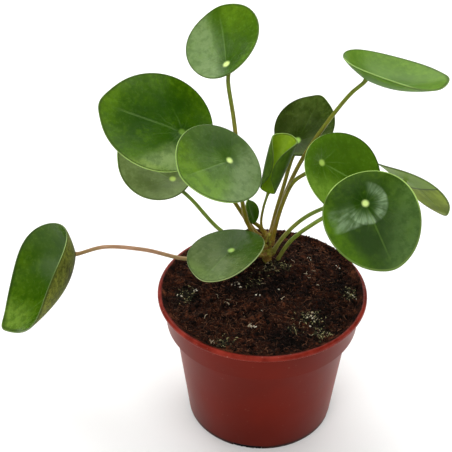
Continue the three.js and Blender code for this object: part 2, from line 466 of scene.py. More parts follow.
def on_circle(radius: float, bearing: float) -> Place:
    """Gives a point of a circle about the origin.

    Args:
        radius: The circle's radius.
        bearing: The point's bearing, in radians.

    Returns:
        X and Y.
    """
    return radius * math.cos(bearing), radius * math.sin(bearing)


class MeshHeap:
    """Gathers many small shapes into one mesh, each with its own tone."""

    def __init__(self) -> None:
        """Starts empty."""
        self.points: list[np.ndarray] = []
        self.faces: Faces = []
        self.tones: list[np.ndarray] = []
        self.count = 0

    def add(self, points: np.ndarray, faces: Faces, tone: float) -> None:
        """Adds a shape.

        Args:
            points: Its points, in millimetres.
            faces: Its faces.
            tone: Its tone, from about 0 to about 1.
        """
        self.faces.extend(tuple(index + self.count for index in face) for face in faces)
        self.points.append(points)
        self.tones.append(np.full(len(points), tone))
        self.count += len(points)

    def build(self, name: str, material: bpy.types.Material) -> bpy.types.Object:
        """Makes the object.

        Args:
            name: The piece's name.
            material: Its material, which may read the attribute tone.

        Returns:
            The object.
        """
        made = make_object(name, np.concatenate(self.points), self.faces, [material])
        carry(made, "tone", np.concatenate(self.tones))
        return made

    def lay(self, name: str, material: bpy.types.Material) -> None:
        """Makes the object as a part of what lies on the soil.

        Args:
            name: The piece's name.
            material: Its material, which may read the attribute tone.
        """
        settle(self.build(name, material), "peat")


def tube(path: np.ndarray, radii: np.ndarray, sides: int) -> Shape:
    """Sweeps a round section along a path and closes both ends.

    Args:
        path: Points along the middle.
        radii: The radius at each point.
        sides: How many sides the section has.

    Returns:
        The points and the faces.
    """
    run = np.gradient(path, axis=0)
    run /= np.linalg.norm(run, axis=1)[:, None]
    helper = np.array([0.0, 0.0, 1.0]) if abs(run[0][2]) < 0.9 else np.array([1.0, 0.0, 0.0])
    out = np.cross(run[0], helper)
    angles = np.arange(sides) * 2 * math.pi / sides
    rings = []
    for middle, ahead, radius in zip(path, run, radii):
        out = out - ahead * out.dot(ahead)
        out /= np.linalg.norm(out)
        across = np.cross(ahead, out)
        rings.append(middle + radius * (np.outer(np.cos(angles), out) + np.outer(np.sin(angles), across)))
    faces: Faces = []
    last = (len(path) - 1) * sides
    for low in range(0, last, sides):
        faces.extend(band(low, low + sides, sides))
    faces.append(tuple(reversed(range(sides))))
    faces.append(tuple(range(last, last + sides)))
    return np.concatenate(rings), faces


def smooth_path(knots: Sequence[Sequence[float]], step: float) -> np.ndarray:
    """Runs a smooth curve through some knots, without loops where they lie close together.

    Args:
        knots: The points that it passes.
        step: The distance between the samples, about.

    Returns:
        Points along the curve.
    """
    known = [np.array(knot, float) for knot in knots]
    known = [2 * known[0] - known[1], *known, 2 * known[-1] - known[-2]]
    out = []
    for before, start, end, after in zip(known, known[1:], known[2:], known[3:]):
        pairs = ((before, start), (start, end), (end, after))
        first, middle, last = (math.sqrt(max(np.linalg.norm(b - a), 1e-4)) for a, b in pairs)
        ahead = (end - start) / middle
        leave = ((start - before) / first - (end - before) / (first + middle) + ahead) * middle
        reach = (ahead - (after - start) / (middle + last) + (after - end) / last) * middle
        count = max(2, round(float(np.linalg.norm(end - start)) / step))
        for t in np.arange(count)[:, None] / count:
            bend = (2 * start - 2 * end + leave + reach) * t**3
            out.append(bend + (3 * end - 3 * start - 2 * leave - reach) * t**2 + leave * t + start)
    out.append(known[-2])
    return np.array(out)


# Finishes


class BladeMap:
    """What a blade's material reads at each point: places on the flat blade, and noise."""

    def __init__(self, shader: Shader) -> None:
        """Reads what the mesh carries.

        Args:
            shader: The material.
        """
        self.shader = shader
        self.place = shader.place()
        self.plan = shader.attribute("plan", vector=True)
        self.reach = shader.attribute("reach")
        self.radius = shader.vector("LENGTH", self.plan, "Value")
        self.along, self.across, _ = shader.split(self.plan)
        self.bearing = shader.math("ARCTAN2", self.across, self.along)
        self.clouds = shader.noise(self.place, 45, 4)
        self.grain = shader.noise(self.place, 420, 3)

    def towards(self, turn: float) -> Socket:
        """Measures along one bearing.

        Args:
            turn: The bearing from the spot, in radians, with the tip at 0.

        Returns:
            The distance, in millimetres.
        """
        forward = self.shader.times(self.along, math.cos(turn))
        return self.shader.math("ADD", forward, self.shader.times(self.across, math.sin(turn)))

    def within(self, value: object, rises: Place, falls: Place) -> Socket:
        """Tells whether a value lies in a soft-edged range.

        Args:
            value: The value.
            rises: Where the range begins and where it is full.
            falls: Where it is full for the last time and where it ends.

        Returns:
            1 inside and 0 outside.
        """
        return self.shader.times(self.shader.ease(value, *rises), self.shader.ease(value, *falls, 1.0, 0.0))


@dataclass(frozen=True)
class Patch:
    """A part of a blade's face painted in another colour: some patches are a paler or darker green, others
    are painted sheen where the face would reflect a light.

    Each bound gives a bearing from the spot, in degrees, and the two distances along it, in
    millimetres, between which the patch fades in.
    """

    colour: Colour
    bounds: tuple[Triple, ...]
    share: float = 0.8

    def cover(self, ground: BladeMap) -> Socket:
        """Tells how much the patch covers.

        Args:
            ground: What the material reads.

        Returns:
            Its share, from 0 to 1.
        """
        shader = ground.shader
        cover = shader.times(shader.ease(ground.clouds, 0.3, 0.55, 0.8, 1.0), self.share)
        for bearing, start, full in self.bounds:
            away = shader.sway(ground.towards(math.radians(bearing)), ground.clouds, 9.0)
            cover = shader.times(cover, shader.ease(away, start, full))
        return cover


@dataclass(frozen=True)
class LeafFace:
    """The finish of one face of a blade."""

    deep: Colour
    plain: Colour
    bright: Colour
    vein: Colour = paint(116, 150, 70)
    spot: Colour = paint(202, 226, 134)
    # The rim's pale colour, mostly a painted highlight on its lit side
    rim: Colour = paint(158, 190, 98)
    margin: Colour = paint(46, 62, 18)
    # A pale colour for painted sheen, the reflection of a small soft light
    painted_sheen: Colour = paint(142, 168, 128)
    gleam: Colour = (0.9, 1.0, 0.75, 1.0)
    heart: float = 0.45
    vein_share: float = 0.2
    sheen: float = 0.24
    specular: float = 0.14
    spotted: bool = True
    relief: float = 1.0
    # Where along the blade a fold, which the mesh lacks, is painted in highlight and shade
    fold: float | None = None
    paints_sheen: bool = False
    mottle: float = 0.42
    speckle: float = 230.0
    # The bearing and half width, in degrees, of the rim's lit side, which gets a painted highlight
    lit_rim: Place = (0.0, 0.0)
    rim_starts: float = 0.988
    patches: tuple[Patch, ...] = ()

    def build(self, name: str) -> bpy.types.Material:
        """Makes the material: a mottled green with rays of veins about a pale spot.

        Args:
            name: The material's name.

        Returns:
            The material.
        """
        shader = Shader(name)
        ground = BladeMap(shader)
        place, reach, grain = ground.place, ground.reach, ground.grain

        colour = shader.mix(shader.ease(ground.clouds, 0.36, 0.64), self.deep, self.plain)
        colour = shader.mix(shader.ease(reach, 0.05, 0.6, self.heart, 0.0), colour, self.deep)
        edge = shader.times(shader.ease(reach, 0.5, 1.0), shader.ease(grain, 0.3, 0.75, 0.3, 0.8))
        colour = shader.mix(edge, colour, self.bright)
        flecks = shader.ease(shader.noise(place, 160, 2), 0.58, 0.74, 0.0, 0.45)
        colour = shader.mix(flecks, colour, self.bright)
        for patch in self.patches:
            colour = shader.mix(patch.cover(ground), colour, patch.colour)
        light = shader.ease(shader.noise(place, 130, 3, 0.6), 0.5, 0.72, 0.0, 0.6 * self.mottle)
        colour = shader.mix(light, colour, self.bright)
        mottle = shader.ease(shader.noise(place, self.speckle, 4, 0.65), 0.4, 0.64, 0.0, self.mottle)
        colour = shader.mix(mottle, colour, self.deep)
        # Painted sheen: a pale disc and a streaky band where the face would reflect a small soft light
        if self.paints_sheen:
            colour = shader.mix(self.painted_sheen_cover(ground), colour, self.painted_sheen)

        veins = self.veins(ground)
        colour = shader.mix(shader.times(veins, self.vein_share), colour, self.vein)
        dark_ring = shader.times(shader.ease(ground.radius, 2.8, 7.0, 1.0, 0.0), 0.6)
        colour = shader.mix(dark_ring, colour, self.deep)
        if self.spotted:
            uneven = shader.math("ADD", ground.radius, shader.times(ground.clouds, 1.2))
            colour = shader.mix(shader.ease(uneven, 1.5, 3.2, 1.0, 0.0), colour, self.spot)
        margin = shader.times(shader.ease(reach, 0.955, 0.985), shader.ease(grain, 0.3, 0.6, 0.35, 0.75))
        colour = shader.mix(margin, colour, self.margin)
        # Painted highlight on the lit side of the rim
        colour = shader.mix(self.rim_light(ground), colour, self.rim)
        # Painted fold: painted highlight on the spot's side and painted shade along the crease line
        if self.fold is not None:
            inside = shader.ease(ground.along, self.fold - 1.5, self.fold + 0.8, 0.6, 0.0)
            colour = shader.mix(inside, colour, self.vein)
            crease = shader.ease(shader.away(ground.along, self.fold), 0.2, 1.0, 0.75, 0.0)
            colour = shader.mix(crease, colour, self.margin)

        rough = shader.math("ADD", self.sheen - 0.06, shader.times(grain, 0.16))
        normal = self.normal(ground, veins)
        return shader.finish(colour, rough, normal, self.specular, 0.04, self.gleam)

    def rim_light(self, ground: BladeMap) -> Socket:
        """Tells where the rim is pale: a little all round, and fully on its lit side, where it is a painted
        highlight.

        Args:
            ground: What the material reads.

        Returns:
            The share of the rim's colour.
        """
        shader = ground.shader
        middle, half = (math.radians(angle) for angle in self.lit_rim)
        facing = shader.math("DIVIDE", ground.towards(middle), ground.radius)
        level = math.cos(half)
        lit = shader.ease(facing, level - 0.15, level + 0.15, 0.25, 1.0)
        return shader.times(lit, shader.ease(ground.reach, self.rim_starts, self.rim_starts + 0.008))

    def painted_sheen_cover(self, ground: BladeMap) -> Socket:
        """Draws painted sheen, the reflection of a small soft light: a pale disc about the spot and a
        streaky band beside it.

        Args:
            ground: What the material reads.

        Returns:
            Its share, from 0 to 1.
        """
        shader, bearing, radius = ground.shader, ground.bearing, ground.radius
        disc = shader.ease(radius, 11.0, 12.4, 1.0, 0.0)
        disc = shader.times(disc, shader.ease(radius, 4.0, 11.0, 0.15, 1.0))
        disc = shader.times(disc, ground.within(bearing, (-1.5, -1.1), (2.2, 2.8)))
        disc = shader.times(disc, shader.ease(shader.away(bearing, 0.24), 0.06, 0.2, 0.15, 1.0))
        stripe = ground.within(ground.along, (-5.0, 4.0), (9.8, 11.6))
        sides = ground.within(ground.across, (-23.0, -19.0), (-8.5, -5.0))
        cover = shader.math("MAXIMUM", disc, shader.times(stripe, sides, 0.62))
        rays = shader.node("ShaderNodeCombineXYZ")
        shader.feed(rays.inputs[0], shader.times(bearing, 9.0))
        shader.feed(rays.inputs[1], shader.times(radius, 0.1))
        streaks = shader.ease(shader.noise(rays.outputs[0], 1.0, 3), 0.34, 0.64, 0.38, 0.85)
        wisps = shader.ease(shader.noise(ground.plan, 0.16, 2), 0.35, 0.6, 0.35, 0.95)
        return shader.times(cover, streaks, wisps)

    def veins(self, ground: BladeMap) -> Socket:
        """Draws the midrib and the rays of veins about the spot.

        Args:
            ground: What the material reads.

        Returns:
            1 on a vein and 0 beside it.
        """
        shader, reach = ground.shader, ground.reach
        midrib = shader.ease(shader.math("ABSOLUTE", ground.across), 0.15, 0.75, 1.0, 0.0)
        midrib = shader.times(midrib, shader.ease(ground.along, 0.0, 4.0))
        midrib = shader.times(midrib, shader.ease(reach, 0.55, 0.95, 1.0, 0.0))
        wobble = shader.times(shader.noise(ground.plan, 0.09, 2), 0.7)
        ray = shader.math("ADD", shader.times(ground.bearing, VEIN_RAYS / (2 * math.pi)), wobble)
        aside = shader.away(ray, shader.math("ROUND", ray))
        aside = shader.times(aside, 2 * math.pi / VEIN_RAYS, ground.radius)
        rays = shader.ease(aside, 0.1, 0.6, 0.6, 0.0)
        rays = shader.times(rays, shader.ease(reach, 0.15, 0.55, 0.8, 0.0))
        return shader.math("MAXIMUM", midrib, rays)

    def normal(self, ground: BladeMap, veins: object) -> Socket:
        """Lays fine radial ridges, a net of cells and the veins over the blade.

        Args:
            ground: What the material reads.
            veins: 1 on a vein.

        Returns:
            The normal.
        """
        shader, radius = ground.shader, ground.radius
        wide = shader.node("ShaderNodeVectorMath", operation="SCALE")
        shader.feed(wide.inputs[0], shader.vector("NORMALIZE", ground.plan))
        wide.inputs["Scale"].default_value = 9.0
        strong = shader.times(shader.ease(radius, 1.0, 5.0), shader.ease(radius, 9.0, 26.0, 1.0, 0.25))
        ridges = shader.times(shader.noise(wide.outputs[0], 1.3, 2), strong)
        net = shader.ease(shader.cells(ground.plan, 0.32), 0.0, 0.2)
        normal = shader.bump(shader.noise(ground.place, 60, 2), 0.8 * self.relief, 0.5)
        normal = shader.bump(ridges, 0.28 * self.relief, 0.35, normal)
        normal = shader.bump(net, 0.014 * self.relief, 0.5, normal)
        normal = shader.bump(ground.grain, 0.06, 0.4, normal)
        return shader.bump(veins, -0.07 * self.relief, 0.8, normal)


class UpperTone(Enum):
    """How the upper face of a blade is coloured."""

    FRESH = LeafFace(paint(40, 73, 0), paint(58, 92, 0), paint(79, 114, 0), spotted=False)
    SHEENY = LeafFace(paint(47, 79, 0), paint(62, 95, 10), paint(87, 127, 18), patches=(
        Patch(paint(94, 127, 24), ((0, 12, 32),), 0.6),
        # Painted sheen on one side of the midrib
        Patch(paint(111, 136, 82), ((95, -2, 8.5),), 0.88),
        Patch(paint(35, 69, 0), ((95, -7, -1), (-85, -5, -1)), 0.55),
    ))
    LUSH = LeafFace(paint(33, 66, 0), paint(53, 87, 0), paint(77, 114, 0), spot=paint(96, 130, 46),
                    lit_rim=(95, 50), patches=(
        # Painted sheen where the face would reflect the ceiling light
        Patch(paint(123, 146, 87), ((143, -1.5, 9), (90, 2, 12)), 0.95),
        Patch(paint(84, 118, 14), ((0, 34, 46),), 0.65),
        Patch(paint(116, 143, 52), ((90, 25, 28.5),), 0.6),
    ))
    BRIGHT = LeafFace(paint(42, 71, 10), paint(57, 83, 24), paint(75, 104, 35), rim=paint(140, 172, 86),
                      lit_rim=(-45, 100), patches=(
        Patch(paint(75, 104, 40), ((70, -10, 1),), 0.85),
        Patch(paint(92, 125, 24), ((0, 14, 24),), 0.75),
        Patch(paint(92, 127, 33), ((50, 10, 20),), 0.8),
        # Painted sheen where the face would reflect the ceiling light
        Patch(paint(102, 123, 77), ((125, 0, 11),), 0.88),
    ))
    # Pale grey-green all over: painted sheen over the whole face
    SHEEN_PAINTED = LeafFace(paint(82, 100, 46), paint(110, 130, 72), paint(128, 148, 86), heart=0.2,
                     spot=paint(170, 198, 90))
    DULL = LeafFace(paint(38, 67, 2), paint(54, 81, 18), paint(69, 96, 27), heart=0.3,
                    spot=paint(154, 190, 90), rim=paint(144, 160, 102), lit_rim=(60, 75), patches=(
        # Painted sheen where the face would reflect a light
        Patch(paint(94, 112, 60), ((-20, -8, 11),), 0.9),
        Patch(paint(96, 122, 47), ((0, 16, 23),), 0.5),
        Patch(paint(47, 73, 10), ((160, 2, 10),), 0.6),
    ))
    HANGING = LeafFace(paint(38, 71, 0), paint(56, 87, 0), paint(77, 110, 14), rim=paint(150, 174, 104),
                       margin=paint(28, 48, 10), lit_rim=(140, 25), mottle=0.5, patches=(
        Patch(paint(104, 134, 45), ((0, 35, 44),), 0.85),
    ))
    DARK = LeafFace(paint(33, 49, 2), paint(60, 75, 27), paint(75, 96, 33), vein_share=0.06,
                    margin=paint(34, 38, 14), mottle=0.6, spot=paint(151, 190, 87), patches=(
        Patch(paint(30, 42, 0), ((100, 5, 13),)),
    ))
    LIVELY = LeafFace(paint(58, 91, 8), paint(67, 101, 14), paint(86, 125, 20), heart=0.3, vein_share=0.4,
                      spot=paint(161, 194, 87), lit_rim=(200, 80), patches=(
        Patch(paint(116, 152, 50), ((-80, 3, 16),)),
    ))
    # front_right's face carries painted sheen about its spot
    DEEP = LeafFace(paint(27, 56, 0), paint(45, 75, 0), paint(71, 102, 18), specular=0.05, lit_rim=(150, 85),
                    rim_starts=0.968, paints_sheen=True, patches=(
        Patch(paint(25, 51, 0), ((0, 7, 12),), 0.9),
        # Painted sheen on the right side
        Patch(paint(81, 110, 52), ((60, 8, 24),), 0.75),
        Patch(paint(83, 122, 2), ((-75, 15, 24),), 0.6),
    ))
    SHADED = LeafFace(paint(42, 68, 6), paint(60, 90, 12), paint(78, 110, 22), sheen=0.5, specular=0.12,
                      spotted=False)
    PALE = LeafFace(paint(70, 104, 22), paint(84, 120, 28), paint(106, 142, 46), sheen=0.34,
                    rim=paint(140, 172, 92), lit_rim=(-120, 60))


class UnderTone(Enum):
    """How the underside of a blade is coloured."""

    GREEN = LeafFace(paint(58, 102, 0), paint(80, 124, 6), paint(108, 148, 32), sheen=0.5, relief=-1.0,
                     rim=paint(140, 172, 92), lit_rim=(-120, 60))
    SAGE = LeafFace(paint(70, 92, 34), paint(92, 114, 46), paint(108, 130, 58), sheen=0.55, relief=-1.0,
                    mottle=0.3)
    OLIVE = LeafFace(paint(48, 52, 10), paint(102, 112, 32), paint(130, 140, 52), sheen=0.55, relief=-1.0,
                     specular=0.05, rim=paint(84, 100, 40), mottle=0.7, speckle=620.0)
    LIME = LeafFace(paint(106, 140, 12), paint(128, 162, 22), paint(146, 176, 38), sheen=0.5, relief=-1.0,
                    spotted=False)
    PALE = LeafFace(paint(92, 112, 20), paint(130, 150, 34), paint(150, 170, 58), sheen=0.5, relief=-1.0,
                    fold=9.6, lit_rim=(0, 30), specular=0.05, patches=(
        # The tip painted darker, with a pale painted highlight where it curls
        Patch(paint(70, 86, 18), ((0, 21, 26),), 0.6),
        Patch(paint(156, 168, 100), ((15, 27.5, 29.5),), 0.8),
    ))


@dataclass(frozen=True)
class StalkFinish:
    """A leaf stalk, browner at its foot."""

    foot: Colour
    middle: Colour
    top: Colour
    streak: Colour = paint(84, 70, 20)
    turns: Place = (0.0, 0.4)
    pales: Place = (0.4, 1.0)

    def build(self, name: str) -> bpy.types.Material:
        """Makes the material.

        Args:
            name: The material's name.

        Returns:
            The material.
        """
        shader = Shader(name)
        place = shader.place()
        climb = shader.attribute("climb")
        clouds = shader.noise(place, 120, 3)
        shifted = shader.sway(climb, clouds, 0.5)
        colour = shader.mix(shader.ease(shifted, *self.turns), self.foot, self.middle)
        colour = shader.mix(shader.ease(shifted, *self.pales), colour, self.top)
        streaks = shader.noise(shader.attribute("fibre", vector=True), 2.2, 2)
        colour = shader.mix(shader.ease(streaks, 0.44, 0.62, 0.0, 0.6), colour, self.streak)
        return shader.finish(colour, 0.42, shader.bump(streaks, 0.15, 0.6), 0.22, 0.06)


class StalkTone(Enum):
    """How a stalk is coloured."""

    OLIVE = StalkFinish(paint(140, 114, 38), paint(122, 114, 26), paint(108, 127, 32), paint(84, 74, 14))
    GREEN = StalkFinish(paint(152, 146, 68), paint(124, 146, 54), paint(120, 146, 52), paint(76, 96, 26))
    TAN = StalkFinish(paint(164, 150, 86), paint(188, 146, 114), paint(150, 126, 74), paint(150, 112, 76),
                      (0.3, 0.62), (0.75, 1.0))


@dataclass(frozen=True)
class BarkFinish:
    """The old stem, brown and green with pale scars."""

    brown: Colour = paint(118, 88, 30)
    green: Colour = paint(142, 140, 46)

    def build(self, name: str) -> bpy.types.Material:
        """Makes the material.

        Args:
            name: The material's name.

        Returns:
            The material.
        """
        shader = Shader(name)
        place = shader.place()
        patches = shader.noise(place, 300, 4)
        colour = shader.mix(shader.ease(patches, 0.4, 0.6), self.brown, self.green)
        scars = shader.cells(place, 650)
        colour = shader.mix(shader.ease(scars, 0.0, 0.12, 0.6, 0.0), colour, paint(54, 40, 24))
        return shader.finish(colour, 0.62, shader.bump(patches, 0.8), 0.2)


@dataclass(frozen=True)
class PotFinish:
    """Smooth coloured plastic, a little dusty, with the marks of handling on its lip and painted shade along
    its bottom edge.
    """

    deep: Colour = paint(92, 14, 1)
    plain: Colour = paint(101, 17, 2)
    lip: Colour = paint(138, 45, 34)
    worn: Colour = paint(106, 25, 15)
    foot: Colour = paint(66, 6, 1)
    dust: Colour = paint(170, 130, 114)
    contact_shade: Colour = paint(20, 8, 6)
    lip_rises: Place = (0.0822, 0.0832)
    lip_edge: Place = (0.0577, 0.0588)
    foot_fades: Place = (0.004, 0.034)
    contact_shade_fades: Place = (0.0018, 0.0032)
    dust_rises: Place = (0.070, 0.0855)

    def build(self, name: str) -> bpy.types.Material:
        """Makes the material, with its bands by height and by distance from the axis, in metres.

        Args:
            name: The material's name.

        Returns:
            The material.
        """
        shader = Shader(name)
        place = shader.place()
        height = shader.split(place)[2]
        clouds = shader.noise(place, 22, 4)
        grain = shader.noise(place, 1400, 2)
        colour = shader.mix(shader.ease(clouds, 0.35, 0.65), self.deep, self.plain)
        on_lip = shader.ease(height, *self.lip_rises)
        lip = shader.mix(shader.ease(shader.noise(place, 70, 4, 0.6), 0.38, 0.62), self.lip, self.worn)
        level = shader.node("ShaderNodeVectorMath", operation="MULTIPLY")
        shader.feed(level.inputs[0], place)
        level.inputs[1].default_value = (1.0, 1.0, 0.0)
        out = shader.vector("LENGTH", level.outputs[0], "Value")
        lip = shader.mix(shader.ease(out, *self.lip_edge, 0.75, 0.0), lip, self.foot)
        colour = shader.mix(on_lip, colour, lip)
        colour = shader.mix(shader.ease(height, *self.foot_fades, 0.35, 0.0), colour, self.foot)
        # Painted shade: near black along the bottom edge, where the pot meets the floor
        colour = shader.mix(shader.ease(height, *self.contact_shade_fades, 0.92, 0.0), colour, self.contact_shade)
        specks = shader.ease(shader.noise(place, 420, 3), 0.66, 0.74, 0.0, 0.5)
        specks = shader.times(specks, shader.ease(height, *self.dust_rises, 0.15, 1.0))
        colour = shader.mix(specks, colour, self.dust)
        rough = shader.math("ADD", 0.33, shader.times(clouds, 0.14))
        rough = shader.math("SUBTRACT", rough, shader.times(on_lip, 0.12))
        normal = shader.bump(grain, 0.02, 0.6)
        normal = shader.bump(shader.noise(place, 30, 2), 0.6, 0.35, normal)
        return shader.finish(colour, rough, normal, 0.12, tint=(1.0, 0.42, 0.3, 1.0), haze=0.13)


@dataclass(frozen=True)
class PeatFinish:
    """Peat from near black to red-brown by its tone; where the tone follows the relief, the near black is
    painted shade in the hollows.
    """

    dark_and_hollow_shade: Colour = paint(9, 5, 3)
    plain: Colour = paint(46, 22, 12)
    crumb: Colour = paint(98, 54, 34)
    rough: float = 0.88

    def build(self, name: str) -> bpy.types.Material:
        """Makes the material.

        Args:
            name: The material's name.

        Returns:
            The material.
        """
        shader = Shader(name)
        place = shader.place()
        tone = shader.attribute("tone")
        clouds = shader.noise(place, 60, 4)
        grain = shader.noise(place, 900, 4, 0.7)
        level = shader.sway(shader.sway(tone, grain, 1.9), clouds, 0.8)
        colour = shader.mix(shader.ease(level, 0.1, 0.55), self.dark_and_hollow_shade, self.plain)
        colour = shader.mix(shader.ease(level, 0.55, 1.05), colour, self.crumb)
        threads = shader.noise(place, 2200, 2)
        normal = shader.bump(grain, 0.8)
        return shader.finish(colour, self.rough, shader.bump(threads, 0.2, 0.7, normal), 0.08)


@dataclass(frozen=True)
class LitterFinish:
    """Small loose matter, from its darkest to its palest tone."""

    dark: Colour
    pale: Colour
    rough: float = 0.7

    def build(self, name: str) -> bpy.types.Material:
        """Makes the material.

        Args:
            name: The material's name.

        Returns:
            The material.
        """
        shader = Shader(name)
        place = shader.place()
        grain = shader.noise(place, 1500, 2)
        level = shader.sway(shader.attribute("tone"), grain, 0.6)
        colour = shader.mix(shader.ease(level, 0.0, 1.0), self.dark, self.pale)
        return shader.finish(colour, self.rough, shader.bump(grain, 0.15), 0.15)


# Leaves


@dataclass(frozen=True)
class Leaf:
    """A blade and its stalk, in millimetres and degrees.

    The sizes are those of the solid part, but for the cup and twist of the leaf upper_left and
    the thinner stalk of the leaf folded. The crease, dimple and wave are in this scene alone.
    """

    name: str
    spot: Triple
    heading: float
    rise: float
    bank: float
    length: float
    width: float
    heel: float
    point: float
    full: float
    cup: Place
    twist: float
    route: tuple[Triple, ...]
    upper: UpperTone = UpperTone.FRESH
    under: UnderTone = UnderTone.SAGE
    stem: StalkTone = StalkTone.OLIVE
    roll: Place | None = None
    thickness: float = 0.9
    dimple: float = 0.7
    wave: float = 0.35
    slender: float = 1.0

    tip_breadth = 0.28
    spokes = 144
    rings = 26
    rim_steps = 6
    crease_depth = 0.035
    crease_width = 1.6
    dimple_spread = 30
    stalk_sides = 20
    stalk_radius = 1.2

    def axes(self) -> tuple[np.ndarray, np.ndarray, np.ndarray]:
        """Gives the blade's three directions.

        Returns:
            Towards the tip, across to the left of it, and out of the upper face.
        """
        heading, rise, bank = (math.radians(angle) for angle in (self.heading, self.rise, self.bank))
        flat = math.cos(rise)
        tip = np.array([flat * math.cos(heading), flat * math.sin(heading), math.sin(rise)])
        level = np.array([-math.sin(heading), math.cos(heading), 0.0])
        side = level * math.cos(bank) + np.cross(tip, level) * math.sin(bank)
        return tip, side, np.cross(tip, side)

    def outline(self, angle: np.ndarray) -> tuple[np.ndarray, np.ndarray]:
        """Gives the rim, as lengths along and across the blade from the spot.

        Args:
            angle: Angles round the blade's middle.

        Returns:
            The lengths along and the lengths across.
        """
        turn = np.arctan2(np.sin(angle), np.cos(angle))
        jut = self.point * np.exp(-((turn / self.tip_breadth) ** 2))
        along = (0.5 - self.heel) * self.length + self.length / 2 * np.cos(angle) + jut
        across = self.width / 2 * np.sin(angle) * (1 + self.full * np.cos(angle))
        return along, across

    def rest(self, along: np.ndarray, across: np.ndarray) -> np.ndarray:
        """Places points of the flat blade on its cupped or rolled middle surface.

        Args:
            along: Lengths from the spot towards the tip.
            across: Lengths across.

        Returns:
            The points.
        """
        tip, side, normal = self.axes()
        crease = -self.crease_depth * np.exp(-((across / self.crease_width) ** 2)) * np.clip(along / 8, 0, 1)
        if self.roll:
            share = along / self.length + self.heel
            radius = self.roll[0] + (self.roll[1] - self.roll[0]) * np.sin(share * math.pi / 2)
            sideways = radius * np.sin(across / radius)
            lift = -radius * (1 - np.cos(across / radius)) + crease
        else:
            s, t = along / (self.length / 2), across / (self.width / 2)
            sideways = across
            lift = self.cup[0] * s * s + self.cup[1] * t * t + self.twist * s * t
            s = s - (1 - 2 * self.heel)
            rim = np.clip(s * s + t * t, 0, 1.2) ** 2
            lift = lift + self.wave * rim * np.sin(3 * np.arctan2(t, s) + self.heading)
            lift = lift - self.dimple * np.exp(-(along**2 + across**2) / self.dimple_spread) + crease
        out = np.array(self.spot) + np.multiply.outer(along, tip) + np.multiply.outer(sideways, side)
        return out + np.multiply.outer(lift, normal)

    def face(self, along: np.ndarray, across: np.ndarray, height: np.ndarray) -> np.ndarray:
        """Places points at a height above the middle surface.

        Args:
            along: Lengths from the spot towards the tip.
            across: Lengths across.
            height: Heights, negative on the underside.

        Returns:
            The points.
        """
        step = 0.05
        here = self.rest(along, across)
        ahead = self.rest(along + step, across) - here
        aside = self.rest(along, across + step) - here
        out = np.cross(ahead, aside)
        out /= np.linalg.norm(out, axis=-1)[..., None]
        return here + out * height[..., None]

    def section(self) -> tuple[np.ndarray, np.ndarray]:
        """Gives the blade's section from the spot over the round rim and back.

        Returns:
            How far in from the rim each row lies, as a share of the radius plus a share of the
            thickness, and the height of each row.
        """
        half = self.thickness / 2
        shares = [ring / self.rings for ring in range(1, self.rings)]
        inset = [(share, 0.0, half) for share in shares]
        for step in range(self.rim_steps + 1):
            turn = math.pi / 2 - math.pi * step / self.rim_steps
            inset.append((1.0, half * (1 - math.cos(turn)), half * math.sin(turn)))
        inset.extend((share, 0.0, -half) for share in reversed(shares))
        rows = np.array(inset)
        return rows[:, :2], rows[:, 2]

    def blade(self) -> None:
        """Makes the blade, with both faces and a round rim."""
        angle = np.arange(self.spokes) * 2 * math.pi / self.spokes
        rim_along, rim_across = self.outline(angle)
        rim = np.hypot(rim_along, rim_across)
        places, heights = self.section()
        share = places[:, :1] - places[:, 1:] / rim[None, :]
        along, across = share * rim_along[None, :], share * rim_across[None, :]
        rows = self.face(along, across, np.repeat(heights[:, None], self.spokes, axis=1))
        half = np.array(self.thickness / 2)
        zero = np.zeros(())
        poles = np.array([self.face(zero, zero, half), self.face(zero, zero, -half)])
        points = np.concatenate([rows.reshape(-1, 3), poles])
        count, spokes = len(heights), self.spokes
        top, bottom = count * spokes, count * spokes + 1
        faces = fan(top, 0, spokes)
        last = (count - 1) * spokes
        for low in range(0, last, spokes):
            faces.extend(band(low, low + spokes, spokes, REVERSED))
        faces.extend(fan(bottom, last, spokes, back=True))
        looks = [self.upper.value.build(f"{self.name}_upper"), self.under.value.build(f"{self.name}_under")]
        made = make_object(f"leaf_{self.name}", points, faces, looks)
        under_from = spokes + (self.rings + self.rim_steps // 2) * spokes
        index = np.zeros(len(faces), dtype=np.int32)
        index[under_from:] = 1
        made.data.polygons.foreach_set("material_index", index)
        plan = np.stack([along, across, np.zeros_like(along)], axis=-1).reshape(-1, 3)
        carry(made, "plan", np.concatenate([plan, np.zeros((2, 3))]))
        carry(made, "reach", np.concatenate([share.reshape(-1), np.zeros(2)]))
        settle(made, "leaf", f"blade_{self.name}")

    def stalk(self, finish: bpy.types.Material) -> None:
        """Makes the stalk, which widens at its foot and where it holds the blade.

        Args:
            finish: The stalks' material.
        """
        tip, _, normal = self.axes()
        inward = tip if self.roll else normal
        sunk = self.heel * self.length if self.roll else self.dimple
        end = np.array(self.spot) - inward * sunk
        path = smooth_path([*self.route, tuple(end - inward * 2.2), tuple(end)], 1.2)
        run = np.concatenate([[0], np.cumsum(np.linalg.norm(np.diff(path, axis=0), axis=1))])
        left = run[-1] - run
        radii = self.stalk_radius + 0.55 * np.exp(-run / 3.5) + 0.5 * np.exp(-left / 1.3)
        radii = (radii - 0.12 * np.exp(-left / 25)) * self.slender
        sides = self.stalk_sides
        points, faces = tube(path, radii, sides)
        made = make_object(f"stalk_{self.name}", points, faces, [finish], 60)
        carry(made, "climb", np.repeat(run / run[-1], sides))
        turn = np.tile(np.arange(sides) * 2 * math.pi / sides, len(run))
        carry(made, "fibre", np.stack([np.cos(turn), np.sin(turn), np.repeat(run / 14, sides)], axis=-1))
        settle(made, "petiole", f"petiole_{self.name}")


